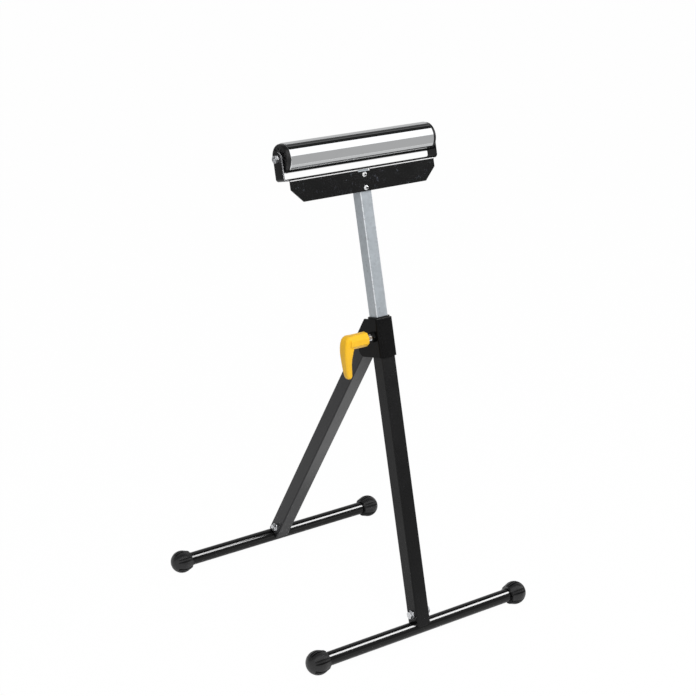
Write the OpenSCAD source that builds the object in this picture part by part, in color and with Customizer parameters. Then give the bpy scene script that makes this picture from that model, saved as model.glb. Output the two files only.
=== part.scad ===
// Folding roller stand: a chromed roller on a telescopic mast, carried by a leaning post
// with one foot bar, and propped by a hinged rear leg with a second foot bar.
// Millimetres. +X runs along the roller, +Y from the post to the rear leg, +Z up.
// The origin lies on the floor, midway between the four feet.

/* [Stance] */
// Distance between the two foot bars, centre to centre
foot_spread = 490; // [420:5:560]
// Lean of the post towards the rear leg, in degrees
post_lean = 13.4; // [11:0.1:15]
// Roller axle above the front foot bar, measured along the post, as it stands
axle_rise = 902; // [800:1:1040]

/* [Post and mast] */
// Width of the square tube that the post and the rear leg are cut from
post_w = 30; // [28:0.5:34]
// Wall of that tube
post_wall = 2; // [1.5:0.1:2.5]
// Outside corner radius of that tube
post_corner_r = 2.6; // [2.6:0.1:4]
// Top of the post above the front foot bar, along the post
post_top = 593; // [560:1:620]
// Gap between the mast and the inside of the post, each side
mast_slack = 0.5; // [0.3:0.1:0.8]
// Length of the mast
mast_len = 562; // [500:1:600]
// Wall of the mast
mast_wall = 1.5; // [1.2:0.1:2]
// Outside corner radius of the mast
mast_corner_r = 2; // [2:0.1:3]

/* [Foot bars] */
// Diameter of the round foot bars
bar_d = 26; // [22:0.5:28]
// Wall of the foot bars
bar_wall = 1.5; // [1.2:0.1:2.5]
// Length of a foot bar without its caps
bar_len = 476; // [380:2:560]
// How far the end of the post stops above the middle of its foot bar
post_end_rise = 5; // [3:0.5:8]
// How far the end of the rear leg stops above the middle of its foot bar
leg_end_rise = 7; // [3:0.5:10]
// Gap between the saddle cut in a tube's end and the foot bar
saddle_gap = 0.1; // [0.1:0.05:0.5]
// Gap between the square stub on a foot bar and the tube it plugs into, each side
stub_slack = 0.2; // [0.1:0.05:0.5]
// Wall of the stub
stub_wall = 2; // [1.5:0.1:3]
// Top of the stub above the middle of its foot bar
stub_top = 44; // [40:1:60]
// Foot bolt above the middle of its foot bar
foot_bolt_rise = 27; // [26:0.5:34]

/* [Foot caps] */
// Diameter of the ball-shaped foot caps
cap_d = 46; // [42:0.5:52]
// Depth of the flat that a cap stands on
cap_flat = 0.5; // [0.3:0.1:1]
// How far the bar's end reaches past the middle of the ball
cap_grip = 6; // [3:0.5:10]
// Middle of the ball to the flat mouth where the bar enters
cap_mouth = 17.5; // [15:0.5:19]
// Outer diameter of that mouth
cap_mouth_d = 36; // [33:0.5:38]
// Middle of the ball to where the mouth's cone begins
cap_cone = 9; // [7:0.5:12]
// Gap between the bar and the bore of its cap
cap_fit = 0.1; // [0.05:0.05:0.3]
// Number of flutes round a cap
cap_flutes = 6; // [5:1:8]
// Width of a flute
flute_w = 8; // [5:0.5:9]
// Floor of a flute to the middle of the bar
flute_floor = 19; // [18.5:0.1:20.5]

/* [Roller] */
// Diameter of the roller
roller_d = 54; // [48:0.5:60]
// Length of the chromed tube
roller_len = 314; // [260:2:360]
// Wall of the chromed tube
roller_wall = 1.5; // [1.2:0.1:2]
// Small bevel on the ends of the chromed tube
roller_bevel = 0.5; // [0.3:0.1:0.8]
// Thickness of an end plug's flange outside the tube
plug_flange_t = 7; // [6:0.5:9]
// Step from the tube's outer face down to the flange
plug_step = 0.7; // [0.5:0.1:1.5]
// Rounding of the flange's outer edge
plug_edge_r = 3.5; // [2:0.5:4.5]
// Length of the plug inside the tube
plug_spigot = 14; // [10:1:20]
// Gap between the plug and the inside of the tube
plug_fit = 0.1; // [0.05:0.05:0.2]
// Wall of the plug's inner bell
plug_wall = 2.4; // [2:0.1:3]
// Pockets round the face of a plug
pocket_count = 12; // [8:1:16]
// Diameter of a pocket
pocket_d = 3.8; // [3:0.1:4.4]
// Depth of a pocket
pocket_deep = 3.5; // [2:0.5:4.5]
// Circle that the pockets lie on, diameter
pocket_ring_d = 34.5; // [34:0.5:37]

/* [Bearings and axle] */
// Diameter of the axle
axle_d = 8; // [7.5:0.1:8.5]
// Outer diameter of a ball bearing
bearing_d = 22; // [21:0.5:24]
// Width of a ball bearing
bearing_w = 7; // [6.5:0.5:8]
// Circle that the balls run on, diameter
ball_ring_d = 15; // [14.8:0.1:15.2]
// Diameter of a ball
ball_d = 4; // [3.8:0.1:4.2]
// Balls in a bearing
ball_count = 7; // [6:1:8]
// Width of the cage that spaces the balls
cage_w = 4.8; // [4.6:0.1:5.4]
// Free play between balls and races
race_gap = 0.05; // [0.02:0.01:0.08]
// Thickness of a bearing shield
shield_t = 0.4; // [0.3:0.1:0.6]
// How far a bearing sits below the face of its plug
bearing_inset = 0.5; // [0.3:0.1:1]
// Outer diameter of the spacers between bearings and ears
spacer_d = 11.6; // [11:0.2:12]

/* [Head bracket] */
// Thickness of the sheet that the bracket is folded from
sheet_t = 2.5; // [2:0.1:3]
// Width of the ears that hold the axle
ear_w = 26; // [24:0.5:30]
// Space between the face of a plug and the ear
ear_gap = 3; // [2:0.5:6]
// Clear height between the roller and the web under it
roller_gap = 11; // [8:0.5:16]
// Inside radius of the folds between web and ears
ear_fold_r = 3.5; // [2:0.5:6]
// Inside radius of the fold between web and apron
apron_fold_r = 1.5; // [1:0.5:2.5]
// Top of the web to the lower edge of the apron
apron_h = 42; // [40:0.5:60]
// How far the apron stops short of the outside of an ear
apron_inset = 11; // [10:0.5:20]
// Size of the cut corners of the apron
apron_cut = 23.5; // [10:0.5:28]
// Distance between the two head screws
screw_pitch = 24; // [20:0.5:26]
// Lower head screw above the edge of the apron
screw_edge = 6; // [5.5:0.5:9]
// Width of the slot in the fold, in front of the mast
slot_w = 27; // [20:0.5:32]
// Height of that slot
slot_h = 4; // [3:0.5:5]

/* [Hinge bracket] */
// Thickness of the bracket
plate_t = 3; // [2.5:0.1:4]
// Height of the bracket
plate_h = 72; // [66:1:90]
// Post's rim above the bracket
post_rim = 3; // [1:0.5:8]
// Gap between the rear leg and each cheek of the bracket
leg_slack = 0.3; // [0.2:0.05:0.6]
// Rear face of the post to the hinge bolt
pivot_setback = 21.5; // [21:0.5:26]
// Hinge bolt below the top of the bracket
pivot_drop = 40; // [36:1:46]
// Cheek's edge behind the hinge bolt
cheek_margin = 16; // [12:0.5:20]
// Rounding of a cheek's lower corner
cheek_r = 14; // [8:0.5:16]
// Cheek's upper edge behind the post, before its slope begins
cheek_shelf = 7; // [3:0.5:10]
// Gap left at the stop, where the open leg meets the post
stop_gap = 0.3; // [0.2:0.05:0.6]

/* [Clamp] */
// Clamp screw below the top of the bracket
clamp_drop = 33; // [28:1:40]
// Diameter of the clamp screw
clamp_d = 12; // [10:0.5:12]
// Width across flats of the nut welded on the bracket
clamp_nut_af = 18; // [17:0.5:20]
// Height of that nut
clamp_nut_h = 6; // [5:0.5:10]
// Bare length of screw between nut and handle
clamp_show = 11; // [6:0.5:16]
// Width across flats of the handle's eight-sided hub
hub_d = 26; // [22:0.5:28]
// Hub's end face to the middle of the grip
hub_len = 40; // [36:0.5:52]
// Clamp screw to the tip of the grip
grip_len = 69; // [56:1:80]
// Grip's width at the hub, across the stand
grip_w = 18; // [15:0.5:20]
// Grip's width at the hub, along the stand
grip_d = 22; // [18:0.5:24]
// Width of the grip's tip as a share of its width at the hub
grip_tip_share = 0.72; // [0.6:0.01:0.9]
// Rounding of the grip's edges
grip_r = 4; // [3:0.5:5]
// How far the tip curves back towards the post
grip_curl = 3; // [0:0.5:6]
// Diameter of the pressure pad
pad_d = 11; // [9:0.5:11]
// Thickness of the pressure pad
pad_t = 3.5; // [3:0.1:4.5]
// Diameter of the pad's spigot
pad_pin_d = 5; // [4:0.5:6]
// Length of the pad's spigot
pad_pin_len = 4; // [3:0.5:6]

/* [Fasteners] */
// Diameter of the foot and hinge bolts
bolt_d = 8; // [6:0.5:8]
// Width across flats of their heads and nuts
bolt_af = 13; // [12:0.5:14]
// Height of a bolt head
bolt_head_h = 5.3; // [4:0.1:6]
// Height of a nut
bolt_nut_h = 6.5; // [5:0.1:8]
// Diameter of a washer
washer_d = 16; // [15:0.5:18]
// Thickness of a washer
washer_t = 1.6; // [1:0.1:2]
// Bolt end showing past its nut
bolt_tail = 2; // [1:0.5:4]
// Diameter of the head screws
screw_d = 5; // [4:0.5:6]
// Diameter of a head screw's button head
screw_head_d = 9.5; // [8:0.5:11]
// Height of that head
screw_head_h = 2.75; // [2:0.05:3.3]
// Width across flats of the hexagon socket
socket_af = 3; // [2.5:0.5:4]
// Depth of the hexagon socket
socket_deep = 1.6; // [1:0.1:2]
// Width across flats of a head nut
screw_nut_af = 8; // [7:0.5:10]
// Height of a head nut
screw_nut_h = 4; // [3:0.5:5]

/* [Hidden] */
$fn = 96;
// Facets on the children of a hull
hull_fn = 32;
// How far a cut runs past the face it opens
over = 1;
// Radial play of a turning pin or screw in its hole
pin_play = 0.06;
// Radial play of a bolt that only fastens
bolt_play = 0.2;

black_paint = "#1b1b1d";
grey_black = "#34343a";
zinc = "#b9bdc2";
galvanised = "#a9aeb2";
chrome = "#dfe2e6";
rubber = "#202022";
moulded_black = "#26262a";
yellow = "#f2b522";

left = -1;
right = 1;

// Stance
cap_r = cap_d / 2;
bar_r = bar_d / 2;
bar_z = cap_r - cap_flat;
cap_x = bar_len / 2 - cap_grip;
cone_r = sqrt(cap_r * cap_r - cap_cone * cap_cone);

// Tubes
mast_w = post_w - 2 * post_wall - 2 * mast_slack;
stub_w = post_w - 2 * post_wall - 2 * stub_slack;
bolt_r = bolt_d / 2;

// Hinge bracket, in the post's own frame: y across, z along the post
plate_top = post_top - post_rim;
plate_low = plate_top - plate_h;
cheek_in = post_w / 2 + leg_slack;
cheek_out = cheek_in + plate_t;
pivot_y = post_w / 2 + pivot_setback;
pivot_z = plate_top - pivot_drop;
clamp_z = plate_top - clamp_drop;

// Rear leg: from the middle of its foot bar up to the hinge bolt
pivot_world_y = -foot_spread / 2 + pivot_y * cos(post_lean) + pivot_z * sin(post_lean);
pivot_world_z = bar_z - pivot_y * sin(post_lean) + pivot_z * cos(post_lean);
leg_run = foot_spread / 2 - pivot_world_y;
leg_rise = pivot_world_z - bar_z;
leg_lean = atan2(leg_run, leg_rise);
leg_len = sqrt(leg_run * leg_run + leg_rise * leg_rise);
open_angle = leg_lean + post_lean;
leg_head = (pivot_setback - stop_gap - post_w / 2 * cos(open_angle)) / sin(open_angle);

// Roller head, in the post's own frame
roller_r = roller_d / 2;
plug_face = roller_len / 2 + plug_flange_t;
ear_in = plug_face + ear_gap;
ear_out = ear_in + sheet_t;
web_top = axle_rise - roller_r - roller_gap;
web_low = web_top - sheet_t;
apron_back = -mast_w / 2;
apron_front = apron_back - sheet_t;
apron_low = web_top - apron_h;
apron_half = ear_out - apron_inset;
screw_low = apron_low + screw_edge;
axle_r = axle_d / 2;
bearing_out = plug_face - bearing_inset;
bearing_in = bearing_out - bearing_w;
ball_x = (bearing_out + bearing_in) / 2;
ball_r = ball_d / 2;
race_r = ball_r + race_gap;
land_share = 0.62;
inner_land_r = ball_ring_d / 2 - ball_r * land_share;
outer_land_r = ball_ring_d / 2 + ball_r * land_share;
hub_wall_r = bearing_d / 2 + plug_wall;

// Clamp
clamp_r = clamp_d / 2;
hub_end = cheek_out + clamp_nut_h + clamp_show;
grip_x = hub_end + hub_len;
pad_front = mast_w / 2 + pin_play;
pad_back = pad_front + pad_t;
screw_bite_share = 0.55;

// Frames

module on_post() {
    translate([0, -foot_spread / 2, bar_z]) rotate([-post_lean, 0, 0]) children();
}

module on_leg() {
    translate([0, foot_spread / 2, bar_z]) rotate([leg_lean, 0, 0]) children();
}

// Shapes that repeat

module rounded_square(w, r) {
    square([w - 2 * r, w], center = true);
    square([w, w - 2 * r], center = true);
    for (sx = [left, right], sy = [left, right])
        translate([sx * (w / 2 - r), sy * (w / 2 - r)]) circle(r);
}

module square_tube(w, wall, r, low, high) {
    translate([0, 0, low]) linear_extrude(high - low) difference() {
        rounded_square(w, r);
        rounded_square(w - 2 * wall, r - wall / 2);
    }
}

// A round bar along X, from x = a to x = b
module bar_x(r, a, b) {
    translate([a, 0, 0]) rotate([0, 90, 0]) cylinder(r = r, h = b - a);
}

// A hexagonal prism along X, measured across its flats
module hex_x(af, a, b) {
    translate([a, 0, 0]) rotate([0, 90, 0]) cylinder(r = af / 2 / cos(30), h = b - a, $fn = 6);
}

module ring_x(outer, inner, a, b) {
    difference() {
        bar_x(outer, a, b);
        bar_x(inner, a - over, b + over);
    }
}

// Bolts, washers and nuts along X. The head is on the left, and grip is half of what they clamp.
module bolt_x(grip) {
    hex_x(bolt_af, -grip - washer_t - bolt_head_h, -grip - washer_t);
    bar_x(bolt_r, -grip - washer_t - over / 2, grip + washer_t + bolt_nut_h + bolt_tail);
}

module washers_x(grip) {
    for (side = [left, right]) translate([side * (grip + washer_t / 2), 0, 0])
        ring_x(washer_d / 2, bolt_r + bolt_play, -washer_t / 2, washer_t / 2);
}

module nut_x(grip) {
    difference() {
        intersection() {
            hex_x(bolt_af, grip + washer_t, grip + washer_t + bolt_nut_h);
            nut_crown(grip + washer_t, bolt_nut_h, bolt_af);
        }
        bar_x(bolt_r + pin_play, grip, grip + washer_t + bolt_nut_h + over);
    }
}

// The turned shape that breaks the corners of a nut of height h that starts at x = a
module nut_crown(a, h, af) {
    corner = af / 2 / cos(30);
    chamfer = corner - af / 2;
    translate([a, 0, 0]) rotate([0, 90, 0]) rotate_extrude()
        polygon([[0, 0], [af / 2, 0], [corner, chamfer], [corner, h - chamfer], [af / 2, h], [0, h]]);
}

// A round foot bar with its welded square stub, in the frame of the tube it plugs into
module foot_bar() {
    difference() {
        union() {
            bar_x(bar_r, -bar_len / 2, bar_len / 2);
            linear_extrude(stub_top) difference() {
                rounded_square(stub_w, stub_wall);
                rounded_square(stub_w - 2 * stub_wall, stub_wall / 2);
            }
        }
        bar_x(bar_r - bar_wall, -bar_len / 2 - over, bar_len / 2 + over);
        translate([0, 0, foot_bolt_rise]) bar_x(bolt_r + bolt_play, -post_w, post_w);
    }
}

// The end of a square tube: saddle-cut over the foot bar and drilled for the foot bolt
module foot_end_cuts() {
    bar_x(bar_r + saddle_gap, -post_w, post_w);
    translate([0, 0, foot_bolt_rise]) bar_x(bolt_r + bolt_play, -post_w, post_w);
}

// A ball-shaped cap on the end of a foot bar, with the floor at z = 0
module foot_cap(side) {
    translate([side * cap_x, 0, bar_z]) rotate([0, side * 90, 0]) difference() {
        union() {
            sphere(cap_r);
            translate([0, 0, -cap_mouth])
                cylinder(r1 = cap_mouth_d / 2, r2 = cone_r, h = cap_mouth - cap_cone);
        }
        translate([0, 0, -cap_mouth - cap_d]) cylinder(r = cap_d, h = cap_d);
        translate([0, 0, -cap_d]) cylinder(r = bar_r + cap_fit, h = cap_d + cap_grip);
        for (i = [0:cap_flutes - 1]) rotate([0, 0, (i + 1 / 2) * 360 / cap_flutes])
            translate([flute_floor + flute_w / 2, 0, -cap_d]) cylinder(r = flute_w / 2, h = 2 * cap_d);
        rotate([0, side * -90, 0]) translate([-cap_d, -cap_d, -cap_d - bar_z])
            cube([2 * cap_d, 2 * cap_d, cap_d]);
    }
}

// Post and front foot

module outer_post() {
    color(black_paint) on_post() difference() {
        square_tube(post_w, post_wall, post_corner_r, post_end_rise, post_top);
        foot_end_cuts();
        translate([0, 0, clamp_z]) bar_x(clamp_r + bolt_play, -post_w, 0);
    }
}

module front_foot_bar() {
    color(black_paint) on_post() foot_bar();
}

module front_foot_bolt() {
    color(zinc) on_post() translate([0, 0, foot_bolt_rise]) bolt_x(post_w / 2);
}

module front_foot_washers() {
    color(zinc) on_post() translate([0, 0, foot_bolt_rise]) washers_x(post_w / 2);
}

module front_foot_nut() {
    color(zinc) on_post() translate([0, 0, foot_bolt_rise]) nut_x(post_w / 2);
}

module front_cap_left() {
    color(rubber) translate([0, -foot_spread / 2, 0]) foot_cap(left);
}

module front_cap_right() {
    color(rubber) translate([0, -foot_spread / 2, 0]) foot_cap(right);
}

// Hinge bracket: a channel folded round the front of the post, its cheeks reaching back past
// the hinge bolt. The outline below is the cheek seen from the side.

module cheek_outline() {
    front = -post_w / 2 - plate_t;
    shelf = post_w / 2 + cheek_shelf;
    rear = pivot_y + cheek_margin;
    polygon([[front, plate_low], [rear - cheek_r, plate_low], [rear - cheek_r, plate_low + cheek_r],
        [rear, plate_low + cheek_r], [rear, plate_top - (rear - shelf)], [shelf, plate_top],
        [front, plate_top]]);
    translate([rear - cheek_r, plate_low + cheek_r]) circle(cheek_r);
}

module channel_section() {
    outer_r = post_corner_r + plate_t;
    reach = pivot_y + cheek_margin + over;
    front = -post_w / 2;
    difference() {
        union() {
            for (side = [left, right]) translate([side * (cheek_out - outer_r), front - plate_t + outer_r])
                circle(outer_r);
            translate([-cheek_out, front - plate_t + outer_r]) square([2 * cheek_out, reach]);
            translate([-cheek_out + outer_r, front - plate_t]) square([2 * (cheek_out - outer_r), reach]);
        }
        for (side = [left, right]) translate([side * (cheek_in - post_corner_r), front + post_corner_r])
            circle(post_corner_r);
        translate([-cheek_in, front + post_corner_r]) square([2 * cheek_in, reach + post_w]);
        translate([-cheek_in + post_corner_r, front])
            square([2 * (cheek_in - post_corner_r), reach + post_w]);
    }
}

module hinge_bracket() {
    color(black_paint) on_post() difference() {
        intersection() {
            translate([0, 0, plate_low - over]) linear_extrude(plate_h + 2 * over) channel_section();
            translate([-cheek_out - over, 0, 0]) rotate([90, 0, 90])
                linear_extrude(2 * (cheek_out + over)) cheek_outline();
        }
        translate([0, pivot_y, pivot_z]) bar_x(bolt_r + pin_play, -post_w, post_w);
        translate([0, 0, clamp_z]) bar_x(clamp_r + bolt_play, -post_w, 0);
    }
}

module hinge_bolt() {
    color(zinc) on_post() translate([0, pivot_y, pivot_z]) bolt_x(cheek_out);
}

module hinge_washers() {
    color(zinc) on_post() translate([0, pivot_y, pivot_z]) washers_x(cheek_out);
}

module hinge_nut() {
    color(zinc) on_post() translate([0, pivot_y, pivot_z]) nut_x(cheek_out);
}

module clamp_nut() {
    color(black_paint) on_post() translate([0, 0, clamp_z]) difference() {
        intersection() {
            hex_x(clamp_nut_af, -cheek_out - clamp_nut_h, -cheek_out);
            nut_crown(-cheek_out - clamp_nut_h, clamp_nut_h, clamp_nut_af);
        }
        bar_x(clamp_r + pin_play, -cheek_out - clamp_nut_h - over, -cheek_out + over);
    }
}

// Rear leg and rear foot

module rear_leg() {
    color(grey_black) on_leg() difference() {
        square_tube(post_w, post_wall, post_corner_r, leg_end_rise, leg_len + leg_head);
        foot_end_cuts();
        translate([0, 0, leg_len]) bar_x(bolt_r + pin_play, -post_w, post_w);
    }
}

module rear_foot_bar() {
    color(black_paint) on_leg() foot_bar();
}

module rear_foot_bolt() {
    color(zinc) on_leg() translate([0, 0, foot_bolt_rise]) bolt_x(post_w / 2);
}

module rear_foot_washers() {
    color(zinc) on_leg() translate([0, 0, foot_bolt_rise]) washers_x(post_w / 2);
}

module rear_foot_nut() {
    color(zinc) on_leg() translate([0, 0, foot_bolt_rise]) nut_x(post_w / 2);
}

module rear_cap_left() {
    color(rubber) translate([0, foot_spread / 2, 0]) foot_cap(left);
}

module rear_cap_right() {
    color(rubber) translate([0, foot_spread / 2, 0]) foot_cap(right);
}

// Mast and roller head

module mast() {
    color(galvanised) on_post() difference() {
        square_tube(mast_w, mast_wall, mast_corner_r, web_low - mast_len, web_low);
        head_screw_places() bar_y(screw_d / 2 + bolt_play, -mast_w, mast_w);
    }
}

// A round bar along Y, from y = a to y = b
module bar_y(r, a, b) {
    translate([0, a, 0]) rotate([-90, 0, 0]) cylinder(r = r, h = b - a);
}

module head_screw_places() {
    for (i = [0, 1]) translate([0, 0, screw_low + i * screw_pitch]) children();
}

// Web and ears seen from the front, a quarter round at each fold
module web_and_ears_section() {
    outer_r = ear_fold_r + sheet_t;
    top = axle_rise + ear_w / 2 + over;
    difference() {
        union() {
            for (side = [left, right]) translate([side * (ear_out - outer_r), web_low + outer_r])
                circle(outer_r);
            translate([-ear_out + outer_r, web_low]) square([2 * (ear_out - outer_r), outer_r]);
            translate([-ear_out, web_low + outer_r]) square([2 * ear_out, top - web_low - outer_r]);
        }
        for (side = [left, right]) translate([side * (ear_in - ear_fold_r), web_top + ear_fold_r])
            circle(ear_fold_r);
        translate([-ear_in + ear_fold_r, web_top]) square([2 * (ear_in - ear_fold_r), top]);
        translate([-ear_in, web_top + ear_fold_r]) square([2 * ear_in, top]);
    }
}

// Ear seen from the side: straight flanks and a round top about the axle
module ear_outline() {
    translate([-ear_w / 2, web_low - over]) square([ear_w, axle_rise - web_low + over]);
    translate([0, axle_rise]) circle(ear_w / 2);
}

// Apron seen from the front, its lower corners cut off
module apron_outline() {
    fold_low = web_top - apron_fold_r - sheet_t;
    polygon([[-apron_half, fold_low], [-apron_half, apron_low + apron_cut],
        [-apron_half + apron_cut, apron_low], [apron_half - apron_cut, apron_low],
        [apron_half, apron_low + apron_cut], [apron_half, fold_low]]);
}

module apron_fold() {
    fold_y = apron_back + apron_fold_r;
    fold_z = web_low - apron_fold_r;
    intersection() {
        translate([0, fold_y, fold_z])
            ring_x(apron_fold_r + sheet_t, apron_fold_r, -apron_half, apron_half);
        translate([-apron_half, apron_front, fold_z])
            cube([2 * apron_half, apron_fold_r + sheet_t, apron_fold_r + sheet_t]);
    }
    translate([-apron_half, fold_y, web_low]) cube([2 * apron_half, ear_w / 2 - fold_y, sheet_t]);
}

module head_bracket() {
    color(black_paint) on_post() difference() {
        union() {
            intersection() {
                translate([0, ear_w / 2, 0]) rotate([90, 0, 0])
                    linear_extrude(ear_w) web_and_ears_section();
                translate([-ear_out - over, 0, 0]) rotate([90, 0, 90])
                    linear_extrude(2 * (ear_out + over)) ear_outline();
            }
            apron_fold();
            translate([0, apron_back, 0]) rotate([90, 0, 0]) linear_extrude(sheet_t) apron_outline();
        }
        translate([0, 0, axle_rise]) bar_x(axle_r + pin_play, -ear_out - over, ear_out + over);
        head_screw_places() bar_y(screw_d / 2 + bolt_play, apron_front - over, 0);
        translate([-slot_w / 2, apron_front - over, web_low - slot_h])
            cube([slot_w, sheet_t + over + apron_fold_r, slot_h]);
    }
}

module head_screws() {
    color(zinc) on_post() head_screw_places() difference() {
        union() {
            translate([0, apron_front, 0]) rotate([90, 0, 0]) rotate_extrude() intersection() {
                dome_r = (screw_head_d * screw_head_d / 4 + screw_head_h * screw_head_h) / 2 / screw_head_h;
                translate([0, screw_head_h - dome_r]) circle(dome_r);
                square([screw_head_d / 2, screw_head_h]);
            }
            bar_y(screw_d / 2, apron_front - over / 2, mast_w / 2 + screw_nut_h + bolt_tail);
        }
        translate([0, apron_front - screw_head_h + socket_deep, 0]) rotate([90, 0, 0])
            cylinder(r = socket_af / 2 / cos(30), h = socket_deep + over, $fn = 6);
    }
}

module head_nuts() {
    color(zinc) on_post() head_screw_places() translate([0, mast_w / 2, 0]) rotate([0, 0, 90])
        difference() {
            intersection() {
                hex_x(screw_nut_af, 0, screw_nut_h);
                nut_crown(0, screw_nut_h, screw_nut_af);
            }
            bar_x(screw_d / 2 + pin_play, -over, screw_nut_h + over);
        }
}

module on_axle() {
    on_post() translate([0, 0, axle_rise]) children();
}

module roller_axle() {
    end = ear_out + bolt_nut_h + bolt_tail;
    color(zinc) on_axle() bar_x(axle_r, -end, end);
}

module axle_nuts() {
    color(zinc) on_axle() for (side = [left, right]) rotate([0, 0, side == left ? 180 : 0]) difference() {
        intersection() {
            hex_x(bolt_af, ear_out, ear_out + bolt_nut_h);
            nut_crown(ear_out, bolt_nut_h, bolt_af);
        }
        bar_x(axle_r + pin_play, ear_out - over, ear_out + bolt_nut_h + over);
    }
}

module axle_spacers() {
    color(zinc) on_axle() for (side = [left, right]) rotate([0, 0, side == left ? 180 : 0])
        ring_x(spacer_d / 2, axle_r + pin_play, bearing_out, ear_in);
}

// A bearing ring turned about X, with its race cut by the path of the balls
module bearing_ring(outer, inner) {
    rotate([0, 90, 0]) rotate_extrude() difference() {
        translate([inner, bearing_in]) square([outer - inner, bearing_w]);
        translate([ball_ring_d / 2, ball_x]) circle(race_r);
    }
}

module bearing_inner_rings() {
    color(zinc) on_axle() for (side = [left, right]) rotate([0, 0, side == left ? 180 : 0])
        bearing_ring(inner_land_r, axle_r + pin_play);
}

module bearing_outer_rings() {
    color(zinc) on_axle() for (side = [left, right]) rotate([0, 0, side == left ? 180 : 0])
        bearing_ring(bearing_d / 2, outer_land_r);
}

module bearing_balls() {
    color(chrome) on_axle() for (side = [left, right], i = [0:ball_count - 1])
        rotate([i * 360 / ball_count, 0, 0]) translate([side * ball_x, 0, ball_ring_d / 2]) sphere(ball_r);
}

module bearing_cages() {
    land_gap = race_gap * 4;
    color(zinc) on_axle() for (side = [left, right]) difference() {
        translate([side * ball_x, 0, 0])
            ring_x(outer_land_r - land_gap, inner_land_r + land_gap, -cage_w / 2, cage_w / 2);
        for (i = [0:ball_count - 1]) rotate([i * 360 / ball_count, 0, 0])
            translate([side * ball_x, 0, ball_ring_d / 2]) sphere(race_r);
    }
}

module bearing_shields() {
    color(zinc) on_axle() for (side = [left, right], x = [bearing_in, bearing_out - shield_t])
        rotate([0, 0, side == left ? 180 : 0])
            ring_x(outer_land_r, inner_land_r + race_gap * 2, x, x + shield_t);
}

module roller_tube() {
    half = roller_len / 2;
    color(chrome) on_axle() rotate([0, 90, 0]) rotate_extrude() polygon([
        [roller_r - roller_wall, -half], [roller_r - roller_bevel, -half], [roller_r, -half + roller_bevel],
        [roller_r, half - roller_bevel], [roller_r - roller_bevel, half], [roller_r - roller_wall, half]]);
}

// Half the section of an end plug, turned about the axle: flange, bell and bearing seat
module plug_section() {
    half = roller_len / 2;
    flange_r = roller_r - plug_step;
    spigot_r = roller_r - roller_wall - plug_fit;
    seat_r = bearing_d / 2 + plug_fit / 2;
    throat_r = axle_r + plug_wall;
    difference() {
        union() {
            translate([0, half - plug_spigot]) square([spigot_r, plug_spigot + plug_edge_r]);
            translate([0, half]) square([flange_r, plug_flange_t - plug_edge_r]);
            translate([0, half]) square([flange_r - plug_edge_r, plug_flange_t]);
            translate([flange_r - plug_edge_r, plug_face - plug_edge_r]) circle(plug_edge_r);
        }
        translate([0, bearing_in]) square([seat_r, bearing_w + over]);
        translate([0, half - plug_spigot - over]) square([throat_r, plug_spigot + plug_flange_t]);
        translate([hub_wall_r, half - plug_spigot - over])
            square([spigot_r - plug_wall - hub_wall_r, plug_spigot - plug_wall + over]);
    }
}

module roller_plug(side) {
    color(moulded_black) on_axle() rotate([0, 0, side == left ? 180 : 0]) difference() {
        rotate([0, 90, 0]) rotate_extrude() plug_section();
        for (i = [0:pocket_count - 1]) rotate([i * 360 / pocket_count, 0, 0])
            translate([0, 0, pocket_ring_d / 2])
                bar_x(pocket_d / 2, plug_face - pocket_deep, plug_face + over);
    }
}

module roller_plug_left() {
    roller_plug(left);
}

module roller_plug_right() {
    roller_plug(right);
}

// Clamp: the screw turns in the welded nut and pushes a pad against the mast

module on_clamp() {
    on_post() translate([0, 0, clamp_z]) children();
}

module clamp_pad() {
    color(zinc) on_clamp() {
        bar_x(pad_d / 2, -pad_back, -pad_front);
        bar_x(pad_pin_d / 2, -pad_back - pad_pin_len, -pad_back);
    }
}

module clamp_screw() {
    color(zinc) on_clamp() difference() {
        bar_x(clamp_r, -hub_end - hub_len * screw_bite_share, -pad_back);
        bar_x(pad_pin_d / 2 + pin_play, -pad_back - pad_pin_len - pin_play, -pad_back + over);
    }
}

// Four balls at the corners of one cross-section of the grip
module grip_section(x, z, w, d) {
    for (sx = [left, right], sy = [left, right])
        translate([x + sx * (w / 2 - grip_r), sy * (d / 2 - grip_r), z]) sphere(grip_r, $fn = hull_fn);
}

module clamp_handle() {
    crown_share = 0.7;
    shoulder_share = 0.3;
    knee_share = 0.55;
    knee_w = grip_w * (1 + grip_tip_share) / 2;
    knee_d = grip_d * (1 + grip_tip_share) / 2;
    knee_x = -grip_x - grip_curl / 2;
    color(yellow) on_clamp() rotate([post_lean, 0, 0]) difference() {
        union() {
            translate([-grip_x, 0, 0]) rotate([0, 90, 0]) rotate([0, 0, 180 / 8])
                cylinder(r = hub_d / 2 / cos(180 / 8), h = grip_x - hub_end, $fn = 8);
            hull() {
                grip_section(-grip_x + grip_w * (1 - crown_share) / 2, hub_d / 2 - grip_r,
                    grip_w * crown_share, grip_d * crown_share);
                grip_section(-grip_x, hub_d / 2 * shoulder_share, grip_w, grip_d);
                grip_section(knee_x, -grip_len * knee_share, knee_w, knee_d);
            }
            hull() {
                grip_section(knee_x, -grip_len * knee_share, knee_w, knee_d);
                grip_section(-grip_x + grip_curl, -grip_len + grip_r,
                    grip_w * grip_tip_share, grip_d * grip_tip_share);
            }
        }
        bar_x(clamp_r + pin_play, -hub_end - hub_len * screw_bite_share - pin_play, -hub_end + over);
    }
}

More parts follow.
